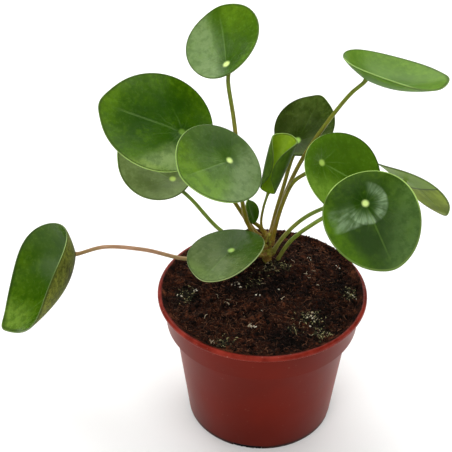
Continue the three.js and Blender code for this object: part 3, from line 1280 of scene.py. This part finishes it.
LEAVES = (
    Leaf("top", (-21, 20, 218), 91, 16, -29, 46, 43, 0.2, 0.5, 0.05, (3, 3), 0.5,
         ((1.5, 20.5, 105), (-9, 20, 118), (-13, 20, 150), (-17, 20, 186), (-20, 20, 208)),
         UpperTone.SHEENY),
    Leaf("upper_left", (-45.5, 36, 168), 175, 19, -30, 64, 60, 0.27, 2, -0.05, (0.5, 2.4), -1.1,
         ((1.5, 26, 99), (-9, 31, 112), (-17, 32, 125.5), (-34, 34.5, 151.5)),
         UpperTone.LUSH),
    Leaf("front_left", (-19, -8, 176.5), 224, 6, -33, 51, 48, 0.33, 1, -0.05, (1, 1), 0,
         ((1.5, 19, 101), (-7, 17, 115.5), (-12, 7, 140.5), (-16, -3, 163)),
         UpperTone.BRIGHT),
    Leaf("lower_left", (-52, 44, 132), 159, 8, -16, 44, 41, 0.25, 1.5, -0.05, (4, 0.5), 0,
         ((0.5, 25.5, 95), (-12, 28, 98), (-25, 33, 104), (-41, 40, 120)),
         UpperTone.SHEEN_PAINTED, stem=StalkTone.GREEN),
    Leaf("low_front", (-18, -5, 116.5), 236, -7, 10, 45.5, 42.5, 0.4, 1, 0, (0, 3.5), -1,
         ((1, 20, 95), (-8, 11, 101), (-14, 3, 107)),
         UpperTone.DULL),
    Leaf("far_left", (-109, 15, 98.5), 183, -85, -14, 63, 59, 0.25, 1.5, -0.15, (17.5, 21.5), -2.5,
         ((0.5, 23.5, 93), (-22, 22, 92), (-44, 19, 92.5), (-68, 17.5, 100), (-91, 16, 103)),
         UpperTone.HANGING, UnderTone.OLIVE, StalkTone.TAN),
    Leaf("back", (20, 50, 154.5), 53, 34, 5, 38, 35.5, 0.26, 1.5, 0, (1.5, 1.5), -0.5,
         ((4.5, 26, 103), (8, 31.5, 117), (12.5, 38.5, 131), (16.5, 45.5, 143)),
         UpperTone.DARK),
    Leaf("folded", (3, 15, 143), 60, 48, 192, 34, 36, 0.05, 1, 0, (0, 0), 0,
         ((2, 20.5, 107.5), (-0.8, 18, 118), (0, 16, 130)),
         UpperTone.SHADED, UnderTone.LIME, roll=(4, 6.9), slender=0.65),
    Leaf("upper_right", (55, 36, 202), 0, -29, -10, 56.5, 53, 0.3, 1, -0.1, (10, 9.5), 1.5,
         ((5.5, 24, 105.5), (14, 27.5, 136), (22, 29.5, 155), (36, 33, 178), (47, 35, 193)),
         UpperTone.PALE, UnderTone.GREEN),
    Leaf("right", (31.5, 16, 160.5), 3, -35, 40, 49, 46, 0.23, 1, 0.05, (1.5, 2.5), 0,
         ((5.5, 20.5, 103), (10.5, 18, 130.5), (16.5, 16, 148), (24, 13.5, 156)),
         UpperTone.LIVELY),
    Leaf("front_right", (52, -18, 156.5), 297, -37, 18, 55, 51, 0.31, 0.5, -0.1, (0.5, 2), -0.5,
         ((8.5, 25.5, 85), (16, 16.5, 107), (26, 5, 126), (37, -6, 142)),
         UpperTone.DEEP, stem=StalkTone.GREEN),
    Leaf("drooping", (81.5, 32, 140), -5, -35, -34, 50, 46.5, 0.38, 2, 0, (-3, 1), -2,
         ((6, 25, 92), (13, 26, 104), (26, 27, 117.5), (52, 29, 129)),
         UpperTone.DULL, UnderTone.PALE, StalkTone.GREEN),
    Leaf("young", (-5.5, 26, 116), 139, 58, 0, 14, 10, 0.2, 1, 0, (1, 2.5), 0,
         ((3, 25, 105), (-1.5, 27, 110)), UpperTone.FRESH, UnderTone.LIME, dimple=0.2, wave=0.1),
)


# Pot


@dataclass(frozen=True)
class NurseryPot:
    """The thin moulded pot, in millimetres."""

    rim_radius: float = 60.0
    height: float = 85.5
    foot_radius: float = 43.0
    collar_height: float = 19.3
    wall: float = 1.3
    lip_width: float = 2.6
    lip_bevel: float = 0.3
    lip_height: float = 2.8
    lip_slope_end: float = 0.8
    collar_top_radius: float = 56.4
    collar_radius: float = 55.3
    body_top_radius: float = 50.8
    pad_radius: float = 20.0
    floor_rise: float = 2.5
    floor_thickness: float = 1.5
    foot_width: float = 2.0
    drain_count: int = 8
    drain_radius: float = 3.5
    drain_circle: float = 31.0
    notch_count: int = 4
    notch_width: float = 17.0
    notch_height: float = 2.2
    notch_bearing: float = 259.0
    corner: float = 0.5
    corner_steps: int = 3
    crisp_angle: float = 35.0
    sides: int = 240

    def body_radius(self, z: float) -> float:
        """Gives the tapered body's radius.

        Args:
            z: The height.

        Returns:
            The radius.
        """
        share = z / (self.height - self.collar_height)
        return self.foot_radius + (self.body_top_radius - self.foot_radius) * share

    def lip_inner(self) -> float:
        """Gives the radius at which the lip's flat top ends inwards."""
        return self.rim_radius - self.lip_width + self.lip_bevel

    def inside(self, clearance: float) -> list[Place]:
        """Gives the inner wall and floor, from the top down.

        Args:
            clearance: How far inside of them.

        Returns:
            A list of radius and height.
        """
        collar = self.height - self.collar_height
        floor = self.floor_rise + self.floor_thickness
        shift = self.wall + clearance
        return [
            (self.collar_top_radius - shift, self.height - self.lip_height + self.lip_slope_end),
            (self.collar_radius - shift, collar + 1.2),
            (self.body_top_radius - shift, collar - 1),
            (self.body_radius(floor) - shift, floor + clearance),
            (self.pad_radius + 4, floor + clearance),
            (self.pad_radius + 1.5, self.floor_thickness + clearance),
            (0.0, self.floor_thickness + clearance),
        ]

    def profile(self) -> list[Place]:
        """Gives the whole section, from the middle of the foot round to the middle of the floor."""
        collar = self.height - self.collar_height
        under = self.height - self.lip_height
        inner = self.inside(0)
        return [
            (0.0, 0.0),
            (self.pad_radius, 0.0),
            (self.pad_radius + 2, self.floor_rise),
            (self.foot_radius - self.foot_width - 1, self.floor_rise),
            (self.foot_radius - self.foot_width, 0.0),
            (self.foot_radius, 0.0),
            (self.body_radius(self.notch_height + 0.8), self.notch_height + 0.8),
            (self.body_radius(collar / 2), collar / 2),
            (self.body_top_radius, collar - 0.6),
            (self.collar_radius, collar),
            (self.collar_top_radius, under),
            (self.rim_radius - 0.5, under),
            (self.rim_radius, under + 0.5),
            (self.rim_radius, self.height - 0.9),
            (self.rim_radius - 0.9, self.height),
            (self.lip_inner(), self.height),
            *inner,
        ]

    def rounded(self, profile: list[Place], radius: float, steps: int) -> list[Place]:
        """Rounds the corners of a section.

        Args:
            profile: The section.
            radius: The most that a corner is cut back.
            steps: How many pieces each corner gets.

        Returns:
            The rounded section.
        """
        out = [profile[0]]
        for before, corner, after in zip(profile, profile[1:], profile[2:]):
            a, b, c = (np.array(point) for point in (before, corner, after))
            back = min(radius, 0.4 * float(np.linalg.norm(a - b)), 0.4 * float(np.linalg.norm(c - b)))
            if abs(corner[1] - (self.height - self.collar_height)) < 1:
                back *= 0.05
            start = b + (a - b) / np.linalg.norm(a - b) * back
            end = b + (c - b) / np.linalg.norm(c - b) * back
            for t in np.linspace(0, 1, steps + 1):
                place = (1 - t) ** 2 * start + 2 * t * (1 - t) * b + t**2 * end
                out.append((float(place[0]), float(place[1])))
        out.append(profile[-1])
        return out

    def bearings(self) -> np.ndarray:
        """Gives the angles of the pot's facets, with a close pair at each side of a notch."""
        even = np.arange(self.sides) * 2 * math.pi / self.sides
        half = self.notch_width / 2 / self.foot_radius
        extra = []
        for notch in range(self.notch_count):
            middle = math.radians(self.notch_bearing) + notch * 2 * math.pi / self.notch_count
            for side in (-half, half):
                extra.extend([middle + side - 0.004, middle + side + 0.004])
        extra_array = np.mod(extra, 2 * math.pi)
        spaced = [a for a in even if np.min(np.abs(extra_array - a)) > 0.012]
        return np.sort(np.concatenate([spaced, extra_array]))

    def in_notch(self, bearing: float) -> bool:
        """Tells whether a bearing lies in a notch of the foot ring.

        Args:
            bearing: The bearing, in radians.

        Returns:
            Whether it does.
        """
        quarter = 2 * math.pi / self.notch_count
        away = (bearing - math.radians(self.notch_bearing) + quarter / 2) % quarter - quarter / 2
        return abs(away) < self.notch_width / 2 / self.foot_radius

    def build(self) -> None:
        """Makes the pot."""
        section = self.rounded(self.profile(), self.corner, self.corner_steps)
        bearings = self.bearings()
        count = len(bearings)
        points = []
        for radius, z in section[1:-1]:
            ring_low = z < self.notch_height and radius > self.foot_radius - self.foot_width - 1
            for bearing in bearings:
                height = self.notch_height if ring_low and self.in_notch(bearing) else z
                points.append((*on_circle(radius, bearing), height))
        points.append((0, 0, section[0][1]))
        points.append((0, 0, section[-1][1]))
        faces: Faces = []
        last = (len(section) - 3) * count
        for low in range(0, last, count):
            faces.extend(band(low, low + count, count))
        under, inside = len(points) - 2, len(points) - 1
        for pair in zip(fan(under, 0, count, back=True), fan(inside, last, count)):
            faces.extend(pair)
        finish = PotFinish().build("pot_plastic")
        made = make_object("nursery_pot", np.array(points, float), faces, [finish], self.crisp_angle)
        self.drain(made)
        settle(made, "pot_plastic", "pot")

    def notch_shade(self) -> None:
        """Fills the front notch with a near-black, peat-like piece: painted shade standing in for the dark
        inside the foot ring.
        """
        half = self.notch_width / 2 / self.foot_radius - 0.002
        middle = math.radians(self.notch_bearing)
        outer, inner = self.foot_radius - 0.45, self.foot_radius - self.foot_width - 0.6
        steps = 40
        points: list[Triple] = []
        for bearing in np.linspace(middle - half, middle + half, steps + 1):
            ragged = outer + 0.35 * noise.noise(Vector((*on_circle(40, bearing), 2.3)))
            section = ((ragged, 0.02), (ragged - 0.1, 1.1), (outer - 0.5, 2.1), (inner, 2.1), (inner, 0.1))
            for radius, z in section:
                points.append((*on_circle(radius, bearing), z))
        count = len(section)
        faces: Faces = []
        for row in range(steps):
            faces.extend(band(row * count, (row + 1) * count, count, SWAPPED))
        faces.append(tuple(range(count)))
        faces.append(tuple(reversed(range(steps * count, len(points)))))
        # Near-black colours: this piece is painted shade in the notch
        finish = PeatFinish(paint(6, 3, 3), paint(22, 13, 12), paint(60, 42, 40), 0.5)
        made = make_object("notch_shade", np.array(points), faces, [finish.build("notch_shade")])
        carry(made, "tone", np.full(len(points), 0.25))
        settle(made, "peat")

    def drain(self, pot: bpy.types.Object) -> None:
        """Cuts the drain holes through the floor.

        Args:
            pot: The pot.
        """
        drills = []
        for hole in range(self.drain_count):
            angle = 2 * math.pi * (hole + 0.5) / self.drain_count
            place = on_circle(self.drain_circle, angle)
            path = np.array([(*place, -2.0), (*place, 8.0)])
            points, faces = tube(path, np.full(2, self.drain_radius), 32)
            drill = make_object(f"drill_{hole}", points, faces, [])
            drills.append(drill)
            cut = pot.modifiers.new(drill.name, "BOOLEAN")
            cut.operation = "DIFFERENCE"
            cut.solver = "EXACT"
            cut.object = drill
        bake(pot)
        for drill in drills:
            bpy.data.objects.remove(drill)


# Soil and what lies on it


@dataclass(frozen=True)
class Tuft:
    """A patch of moss, or a cluster of grit or rootlets, on the soil."""

    place: Place
    spread: float
    count: int


@dataclass
class PeatBed:
    """The peat that fills the pot, and its crumbs, fibres, grit and moss."""

    pot: NurseryPot
    below_rim: float = 2.2
    sink: float = 0.3
    wall_gap: float = 0.3
    over_lip: float = 0.25
    rings_on_lip: int = 5
    buried_tone: float = 0.3
    gloom_depth: float = 0.45
    level_edge: float = 14.0
    clods: float = 0.5
    brim: float = 57.7
    brim_at_back: float = 59.5
    hills: tuple[tuple[Place, float, float], ...] = (
        ((2.7, 23.0), 4.0, 12.0),
        ((30.0, 34.0), 3.2, 16.0),
        ((0.0, 0.0), 1.6, 30.0),
    )
    spokes: int = 330
    rings: int = 84
    gloom: tuple[tuple[Place, float], ...] = (
        ((6.0, 3.0), 11.0),
        ((31.0, -22.0), 8.0),
        ((12.0, -43.0), 8.0),
        ((-12.0, 4.0), 7.0),
        ((-42.0, -6.0), 5.0),
        ((44.0, 4.0), 6.0),
    )
    moss: tuple[Tuft, ...] = (
        Tuft((50.5, -2.0), 4.5, 150),
        Tuft((4.0, 17.0), 5.5, 120),
        Tuft((13.0, 18.5), 3.5, 90),
        Tuft((-43.0, -3.5), 6.0, 150),
        Tuft((26.0, -24.5), 6.0, 190),
        Tuft((-22.0, -45.0), 5.0, 110),
        Tuft((31.0, -37.0), 4.0, 90),
        Tuft((16.0, -36.0), 3.0, 40),
        Tuft((-5.0, 6.0), 5.0, 80),
    )
    grit: tuple[Tuft, ...] = (
        Tuft((-14.5, 4.5), 2.5, 7),
        Tuft((-5.5, -33.5), 1.2, 6),
        Tuft((26.5, -24.5), 2.0, 5),
        Tuft((28.5, 27.0), 1.5, 3),
        Tuft((45.0, 20.0), 3.0, 3),
        Tuft((-3.0, -5.0), 1.5, 2),
        Tuft((-47.0, -4.0), 1.5, 3),
        Tuft((-38.0, 0.0), 1.5, 3),
        Tuft((51.0, -2.0), 3.5, 5),
        Tuft((0.0, -10.0), 32.0, 3),
    )
    roots: tuple[Tuft, ...] = (
        Tuft((-28.3, -43.8), 1.5, 5),
        Tuft((-7, -30.5), 2, 4),
        Tuft((31, -37), 3, 6),
        Tuft((26, -24), 4, 8),
        Tuft((29, 13), 4, 5),
        Tuft((-20, -8), 4, 4),
        Tuft((0, -8), 30, 10),
        Tuft((4, 16), 4, 6),
    )
    rng: random.Random = field(default_factory=lambda: random.Random(SEED))

    def level(self) -> float:
        """Gives the height of the soil at the wall."""
        return self.pot.height - self.below_rim

    def edge(self) -> float:
        """Gives the soil's radius at its top."""
        wall, low = self.pot.inside(self.wall_gap)[:2]
        share = (self.level() - low[1]) / (wall[1] - low[1])
        return low[0] + (wall[0] - low[0]) * share

    def rise(self, x: float, y: float) -> float:
        """Gives the mounds, as the solid part has them.

        Args:
            x: The place along X.
            y: The place along Y.

        Returns:
            The height above the level.
        """
        total = 0.0
        for (hx, hy), height, spread in self.hills:
            total += height * math.exp(-((x - hx) ** 2 + (y - hy) ** 2) / (2 * spread**2))
        wide = math.sin(x / 3.2 + 0.8) * math.cos(y / 3.7)
        fine = math.sin(y / 1.8 - x / 2.5)
        inward = min(1.0, (self.pot.rim_radius - math.hypot(x, y)) / self.level_edge)
        return (total + self.clods * (wide + 0.7 * fine)) * inward

    def relief(self, x: float, y: float) -> float:
        """Gives the crumbly relief on top of the mounds.

        Args:
            x: The place along X.
            y: The place along Y.

        Returns:
            The height, in millimetres.
        """
        lumps = noise.fractal(Vector((x / 5.5, y / 5.5, 3.1)), 0.9, 2.0, 3)
        crumbs = noise.fractal(Vector((x / 1.9, y / 1.9, 7.7)), 0.8, 2.0, 3)
        return 0.75 * lumps + 0.6 * crumbs

    def surface(self, x: float, y: float) -> float:
        """Gives the height of the soil.

        Args:
            x: The place along X.
            y: The place along Y.

        Returns:
            The height above the ground.
        """
        bed = self.level() + self.rise(x, y) + self.relief(x, y) - self.sink
        away = math.hypot(x, y)
        if away <= self.edge():
            return bed
        return max(bed, self.lip_top(away) + self.over_lip + 0.3 * abs(self.relief(x, y)))

    def lip_top(self, radius: float) -> float:
        """Gives the height of the lip's sloped inner side and flat top.

        Args:
            radius: The distance from the pot's axis.

        Returns:
            The height.
        """
        pot = self.pot
        low, high = pot.collar_top_radius - pot.wall, pot.lip_inner()
        drop = pot.lip_height - pot.lip_slope_end
        return pot.height - drop * min(1.0, max(0.0, (high - radius) / (high - low)))

    def spill(self, bearing: float) -> float:
        """Gives the radius out to which peat lies over the lip, most of all at the back right.

        Args:
            bearing: The bearing, in radians.

        Returns:
            The radius.
        """
        turn = math.degrees(bearing) % 360
        back = min(1.0, max(0.0, (turn - 12) / 14)) * min(1.0, max(0.0, (112 - turn) / 14))
        ragged = 0.5 * noise.noise(Vector((*on_circle(9, bearing), 1.7)))
        ragged += 0.3 * noise.noise(Vector((*on_circle(31, bearing), 4.1)))
        return min(self.brim + (self.brim_at_back - self.brim) * back + ragged, self.pot.rim_radius - 0.2)

    def shade(self, x: float, y: float) -> float:
        """Tells how much darker the peat is at a place.

        Args:
            x: The place along X.
            y: The place along Y.

        Returns:
            0 for no darker, up to the depth of the gloom.
        """
        total = 0.0
        for (gx, gy), spread in self.gloom:
            total = max(total, math.exp(-((x - gx) ** 2 + (y - gy) ** 2) / (2 * spread**2)))
        return self.gloom_depth * total

    def bed(self) -> None:
        """Makes the body of the soil with its rough top."""
        edge, spokes, over = self.edge(), self.spokes, self.rings_on_lip
        rows = self.rings + over
        points: list[Triple] = []
        tones: list[float] = []
        for ring in range(rows, 0, -1):
            for spoke in range(spokes):
                angle = 2 * math.pi * (spoke + 0.5 * (ring % 2)) / spokes
                radius = edge * ring / self.rings
                if ring > self.rings:
                    radius = edge + (self.spill(angle) - edge) * (ring - self.rings) / over
                x, y = on_circle(radius, angle)
                z = self.surface(x, y) if ring < rows else self.lip_top(radius) + 0.02
                points.append((x, y, z))
                # The tone follows the relief, which paints shade into the hollows
                tones.append(0.5 + 0.55 * self.relief(x, y) - self.shade(x, y))
        last = len(points) - spokes
        points.append((0, 0, self.surface(0, 0)))
        tones.append(0.5)
        faces: Faces = []
        for outer in range(0, last, spokes):
            faces.extend(band(outer, outer + spokes, spokes))
        faces.extend(fan(len(points) - 1, last, spokes))
        above = 0
        for radius, z in [(edge, self.level() - 0.1), *self.pot.inside(self.wall_gap)[1:-1]]:
            start = len(points)
            points.extend((*on_circle(radius, 2 * math.pi * spoke / spokes), z) for spoke in range(spokes))
            faces.extend(band(above, start, spokes, SWAPPED))
            above = start
        points.append((0, 0, self.pot.inside(self.wall_gap)[-1][1]))
        tones.extend([self.buried_tone] * (len(points) - len(tones)))
        faces.extend(fan(len(points) - 1, above, spokes, back=True))
        made = make_object("peat_bed", np.array(points), faces, [PeatFinish().build("peat")])
        carry(made, "tone", np.array(tones))
        settle(made, "peat", "soil")

    def scatter(self, tuft: Tuft) -> Place:
        """Picks a place near a patch and inside the pot.

        Args:
            tuft: The patch.

        Returns:
            The place.
        """
        while True:
            x = self.rng.gauss(tuft.place[0], tuft.spread / 1.6)
            y = self.rng.gauss(tuft.place[1], tuft.spread / 1.6)
            if math.hypot(x, y) < self.edge() - 0.8:
                return x, y

    def anywhere(self, margin: float) -> Place:
        """Picks a place anywhere on the soil.

        Args:
            margin: How far it keeps from the wall.

        Returns:
            The place.
        """
        radius = (self.edge() - margin) * math.sqrt(self.rng.random())
        return on_circle(radius, self.rng.uniform(0, 2 * math.pi))

    def on_soil(self, place: Place, height: float) -> np.ndarray:
        """Gives the point at a height above the soil.

        Args:
            place: X and Y.
            height: The height above the soil.

        Returns:
            The point.
        """
        return np.array([*place, self.surface(*place) + height])

    def clod(self, size: float, flat: float = 0.7) -> Shape:
        """Makes one irregular crumb about the origin.

        Args:
            size: Its radius.
            flat: Its height as a share of its width.

        Returns:
            The points and the faces.
        """
        rows, columns = 4, 7
        shift = self.rng.uniform(0, 100)
        points = [(0.0, 0.0, 1.0)]
        for row in range(1, rows):
            tilt = math.pi * row / rows
            for column in range(columns):
                turn = 2 * math.pi * (column + 0.5 * (row % 2)) / columns
                points.append((*on_circle(math.sin(tilt), turn), math.cos(tilt)))
        points.append((0.0, 0.0, -1.0))
        shaped = []
        for x, y, z in points:
            swell = 1 + 0.75 * noise.noise(Vector((x * 1.3 + shift, y * 1.3, z * 1.3)))
            shaped.append((x * swell, y * swell, z * swell * flat))
        last = 1 + (rows - 2) * columns
        faces = fan(0, 1, columns)
        for low in range(1, last, columns):
            faces.extend(band(low, low + columns, columns, REVERSED))
        faces.extend(fan(len(points) - 1, last, columns, back=True))
        about = Matrix.Rotation(self.rng.uniform(0, 6.28), 3, "Z")
        turn = about @ Matrix.Rotation(self.rng.uniform(-0.5, 0.5), 3, "X")
        stretch = np.array([self.rng.uniform(0.7, 1.35), self.rng.uniform(0.7, 1.2), 1.0])
        return (np.array(shaped) * stretch * size) @ np.array(turn).T, faces

    def crumbs(self, count: int = 2400, on_lip: int = 420) -> None:
        """Strews crumbs over the soil, and some over the lip at the back right.

        Args:
            count: How many lie on the soil.
            on_lip: How many lie on the lip and beside it.
        """
        heap = MeshHeap()
        for _ in range(count):
            place = self.anywhere(-1.6)
            size = 0.3 + 1.15 * self.rng.random() ** 5
            points, faces = self.clod(size)
            tone = self.rng.uniform(0.1, 0.95) - self.shade(*place) - 0.25 * (size - 0.3)
            heap.add(points + self.on_soil(place, 0.1 * size), faces, tone)
        for _ in range(on_lip):
            angle = math.radians(self.rng.triangular(14, 110, 62))
            radius = self.rng.uniform(self.edge() - 1.5, self.pot.rim_radius - 0.9)
            points, faces = self.clod(self.rng.uniform(0.3, 0.85), 0.6)
            where = self.on_soil(on_circle(radius, angle), 0.0)
            heap.add(points + where, faces, self.rng.uniform(0.0, 0.9))
        heap.lay("peat_crumbs", PeatFinish(crumb=paint(104, 62, 42)).build("peat_crumb"))

    def thread(self, place: Place, length: float, radius: float, lean: float) -> Shape:
        """Makes one curved fibre from a place on the soil.

        Args:
            place: X and Y.
            length: Its length.
            radius: Its radius.
            lean: How steeply it starts, from 0 (lying) to 1 (upright).

        Returns:
            The points and the faces.
        """
        profile = np.array([0.8, 1.0, 1.0, 0.85, 0.4])
        steps = len(profile)
        heading = self.rng.uniform(0, 2 * math.pi)
        path = []
        x, y = place
        z = self.surface(x, y) + radius
        for _ in range(steps):
            path.append((x, y, z))
            heading += self.rng.gauss(0, 0.6)
            x += math.cos(heading) * length / steps * (1 - 0.6 * lean)
            y += math.sin(heading) * length / steps * (1 - 0.6 * lean)
            away, most = math.hypot(x, y), self.edge() - 0.5
            if away > most:
                x, y = x * most / away, y * most / away
            follow = self.surface(x, y) + radius + 0.25
            z = follow * (1 - lean) + (z + length / steps * 0.8) * lean
        return tube(np.array(path), radius * profile, 3)

    def fibres(self, count: int = 5200) -> None:
        """Lays short red-brown fibres over the soil.

        Args:
            count: How many fibres.
        """
        heap = MeshHeap()
        for _ in range(count):
            place = self.anywhere(0.4)
            length = 1.2 + 4.5 * self.rng.random() ** 2
            points, faces = self.thread(place, length, self.rng.uniform(0.11, 0.25), 0.2 * self.rng.random())
            heap.add(points, faces, self.rng.random() ** 2.2 - self.shade(*place))
        heap.lay("peat_fibres", LitterFinish(paint(32, 17, 11), paint(122, 80, 56)).build("fibre"))

    def rootlets(self) -> None:
        """Lays the pale rootlets."""
        heap = MeshHeap()
        for tuft in self.roots:
            for _ in range(tuft.count):
                place = self.scatter(tuft)
                length, thick = self.rng.uniform(2.5, 6), self.rng.uniform(0.12, 0.22)
                points, faces = self.thread(place, length, thick, 0.25)
                heap.add(points, faces, self.rng.uniform(0.3, 1))
        heap.lay("pale_roots", LitterFinish(paint(120, 98, 70), paint(206, 190, 160), 0.6).build("root"))

    def grains(self) -> None:
        """Strews the white grit."""
        heap = MeshHeap()
        for tuft in self.grit:
            for _ in range(tuft.count):
                place = self.scatter(tuft)
                size = self.rng.uniform(0.3, 0.72)
                points, faces = self.clod(size, 0.85)
                heap.add(points + self.on_soil(place, 0.55 * size), faces, self.rng.uniform(0.5, 1))
        heap.lay("white_grit", LitterFinish(paint(176, 158, 130), paint(250, 243, 220), 0.8).build("grit"))

    def tufts(self) -> None:
        """Grows the small patches of moss."""
        heap = MeshHeap()
        for tuft in self.moss:
            for _ in range(tuft.count):
                place = self.scatter(tuft)
                pale = self.rng.random() < 0.22
                length = self.rng.uniform(1.2, 3.4) if pale else self.rng.uniform(0.8, 2.2)
                thick = self.rng.uniform(0.1, 0.2) if pale else self.rng.uniform(0.16, 0.3)
                tone = self.rng.uniform(0.5, 1.1) if pale else self.rng.uniform(-0.2, 0.12)
                points, faces = self.thread(place, length, thick, self.rng.uniform(0.2, 0.7))
                heap.add(points, faces, tone)
            for _ in range(tuft.count // 3):
                place = self.scatter(tuft)
                points, faces = self.clod(self.rng.uniform(0.35, 0.8))
                heap.add(points + self.on_soil(place, 0.2), faces, 0.15 * self.rng.random())
        heap.lay("moss_tufts", LitterFinish(paint(17, 19, 9), paint(206, 198, 140), 0.85).build("moss"))

    def build(self) -> None:
        """Makes the soil and all that lies on it."""
        self.bed()
        self.crumbs()
        self.fibres()
        self.rootlets()
        self.grains()
        self.tufts()


# Crown


@dataclass(frozen=True)
class Crown:
    """The short knobbly stem that the stalks grow from, in millimetres."""

    leaves: tuple[Leaf, ...]
    foot: Triple = (2.7, 23.0, 73.5)
    top: Triple = (4.0, 23.0, 107.0)
    radius: float = 3.0
    base_radius: float = 1.95
    lowest_stalk: float = 86.0
    skin_grain: float = 0.35
    skin_passes: int = 6

    def build(self) -> None:
        """Melts the stem and the swollen feet of the stalks that meet it into one rough form."""
        heap = MeshHeap()
        foot, top = np.array(self.foot), np.array(self.top)
        share = np.linspace(0, 1, 24)[:, None]
        radii = self.radius * (1 - 0.2 * share[:, 0]) * np.clip(np.sqrt(1.02 - share[:, 0] ** 12), 0.2, 1)
        points, faces = tube(foot + (top - foot) * share, radii, 24)
        heap.add(points, faces, 0.5)
        for leaf in self.leaves:
            start, second = np.array(leaf.route[0]), np.array(leaf.route[1])
            if start[2] < self.lowest_stalk:
                continue
            ahead = (second - start) / np.linalg.norm(second - start)
            path = start + ahead * np.linspace(-1.6, 2.4, 9)[:, None]
            swell = self.base_radius * np.array([0.5, 0.85, 1.0, 1.02, 1.0, 0.95, 0.9, 0.84, 0.76])
            points, faces = tube(path, swell, 20)
            heap.add(points, faces, 0.5)
        made = heap.build("crown_stem", BarkFinish().build("bark"))
        self.melt(made)
        settle(made, "stem", "crown")

    def melt(self, piece: bpy.types.Object) -> None:
        """Joins overlapping shapes into one skin and roughens it.

        Args:
            piece: The object.
        """
        remesh = piece.modifiers.new("skin", "REMESH")
        remesh.mode = "VOXEL"
        remesh.voxel_size = self.skin_grain * MM
        ease = piece.modifiers.new("ease", "SMOOTH")
        ease.iterations = self.skin_passes
        bake(piece)
        mesh = piece.data
        for vertex in mesh.vertices:
            place = vertex.co / MM
            ring = 0.12 * math.sin(place.z * 2.6 + 0.6 * noise.noise(place / 3))
            vertex.co += vertex.normal * MM * (ring + 0.22 * noise.noise(place / 1.3))
        mesh.polygons.foreach_set("use_smooth", [True] * len(mesh.polygons))


# Studio


@dataclass(frozen=True)
class Softbox:
    """A soft rectangular light, aimed at the plant."""

    name: str
    bearing: float
    height: float
    distance: float
    width: float
    depth: float
    strength: float
    aim: Triple = (0.0, 10.0, 120.0)

    def build(self) -> None:
        """Hangs the light."""
        light = bpy.data.lights.new(self.name, "AREA")
        light.shape = "RECTANGLE"
        light.size, light.size_y = self.width, self.depth
        light.energy = self.strength * math.pi * self.width * self.depth
        made = bpy.data.objects.new(self.name, light)
        bearing, height = math.radians(self.bearing), math.radians(self.height)
        flat = self.distance * math.cos(height)
        away = Vector((*on_circle(flat, bearing), self.distance * math.sin(height)))
        made.location = Vector(self.aim) * MM + away
        made.rotation_euler = away.to_track_quat("Z", "Y").to_euler()
        bpy.context.scene.collection.objects.link(made)


@dataclass(frozen=True)
class Studio:
    """The floor, the lights and the camera."""

    camera_place: Triple = (-20.88, -496.57, 476.03)
    pitch: float = 34.934
    roll: float = 0.165
    focal: float = 1100.0
    picture: float = 452.0
    sensor: float = 36.0
    floor_colour: Colour = paint(250, 250, 249)
    floor_reach: float = 4000.0
    room: float = 0.06
    lights: tuple[Softbox, ...] = (
        Softbox("ceiling", 91, 58, 1.7, 2.85, 1.95, 3.2),
        Softbox("window", -71, 65, 1.6, 0.6, 0.34, 8.0),
        Softbox("left_wall", 192, 7, 1.3, 0.9, 0.4, 4.0),
        Softbox("right_wall", -12, 7, 1.3, 0.9, 0.4, 5.0),
        Softbox("front_fill", -112, 38, 1.9, 1.6, 0.8, 3.4),
    )

    def floor(self) -> None:
        """Lays the pale floor."""
        shader = Shader("floor")
        clouds = shader.noise(shader.place(), 3, 2)
        colour = shader.mix(shader.ease(clouds, 0.3, 0.7), self.floor_colour, paint(247, 247, 246))
        material = shader.finish(colour, 0.8, None, 0.2)
        corners = np.array([(-1, -1, 0), (1, -1, 0), (1, 1, 0), (-1, 1, 0)], float) * self.floor_reach
        made = make_object("studio_floor", corners, [(0, 1, 2, 3)], [material])

    def camera(self) -> None:
        """Sets the camera at the photograph's viewing angle."""
        data = bpy.data.cameras.new("camera")
        data.sensor_width = self.sensor
        data.lens = self.focal / self.picture * self.sensor
        made = bpy.data.objects.new("camera", data)
        pitch, roll = math.radians(self.pitch), math.radians(self.roll)
        right = Vector((1, 0, 0))
        up = Vector((0, math.sin(pitch), math.cos(pitch)))
        back = Vector((0, -math.cos(pitch), math.sin(pitch)))
        across = right * math.cos(roll) + up * math.sin(roll)
        upward = up * math.cos(roll) - right * math.sin(roll)
        turn = Matrix((across, upward, back)).transposed().to_4x4()
        made.matrix_world = Matrix.Translation(Vector(self.camera_place) * MM) @ turn
        bpy.context.scene.collection.objects.link(made)
        bpy.context.scene.camera = made

    def room_light(self) -> None:
        """Fills the room with a little even light."""
        world = bpy.data.worlds.new("room")
        world.use_nodes = True
        ground = world.node_tree.nodes["Background"]
        ground.inputs["Color"].default_value = (1.0, 1.0, 1.0, 1.0)
        ground.inputs["Strength"].default_value = self.room
        bpy.context.scene.world = world
        bpy.context.scene.view_settings.view_transform = "Standard"

    def build(self) -> None:
        """Sets up the studio."""
        self.floor()
        self.camera()
        self.room_light()
        for light in self.lights:
            light.build()


def main() -> None:
    """Builds the plant round the CAD model."""
    logging.basicConfig(level=logging.INFO, format="%(name)s: %(message)s")
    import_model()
    Studio().build()
    pot = NurseryPot()
    pot.build()
    pot.notch_shade()
    PeatBed(pot).build()
    Crown(LEAVES).build()
    stalk_finishes = {tone: tone.value.build(f"stalk_{tone.name.lower()}") for tone in StalkTone}
    for leaf in LEAVES:
        leaf.stalk(stalk_finishes[leaf.stem])
        leaf.blade()


if __name__ == "__main__":
    main()
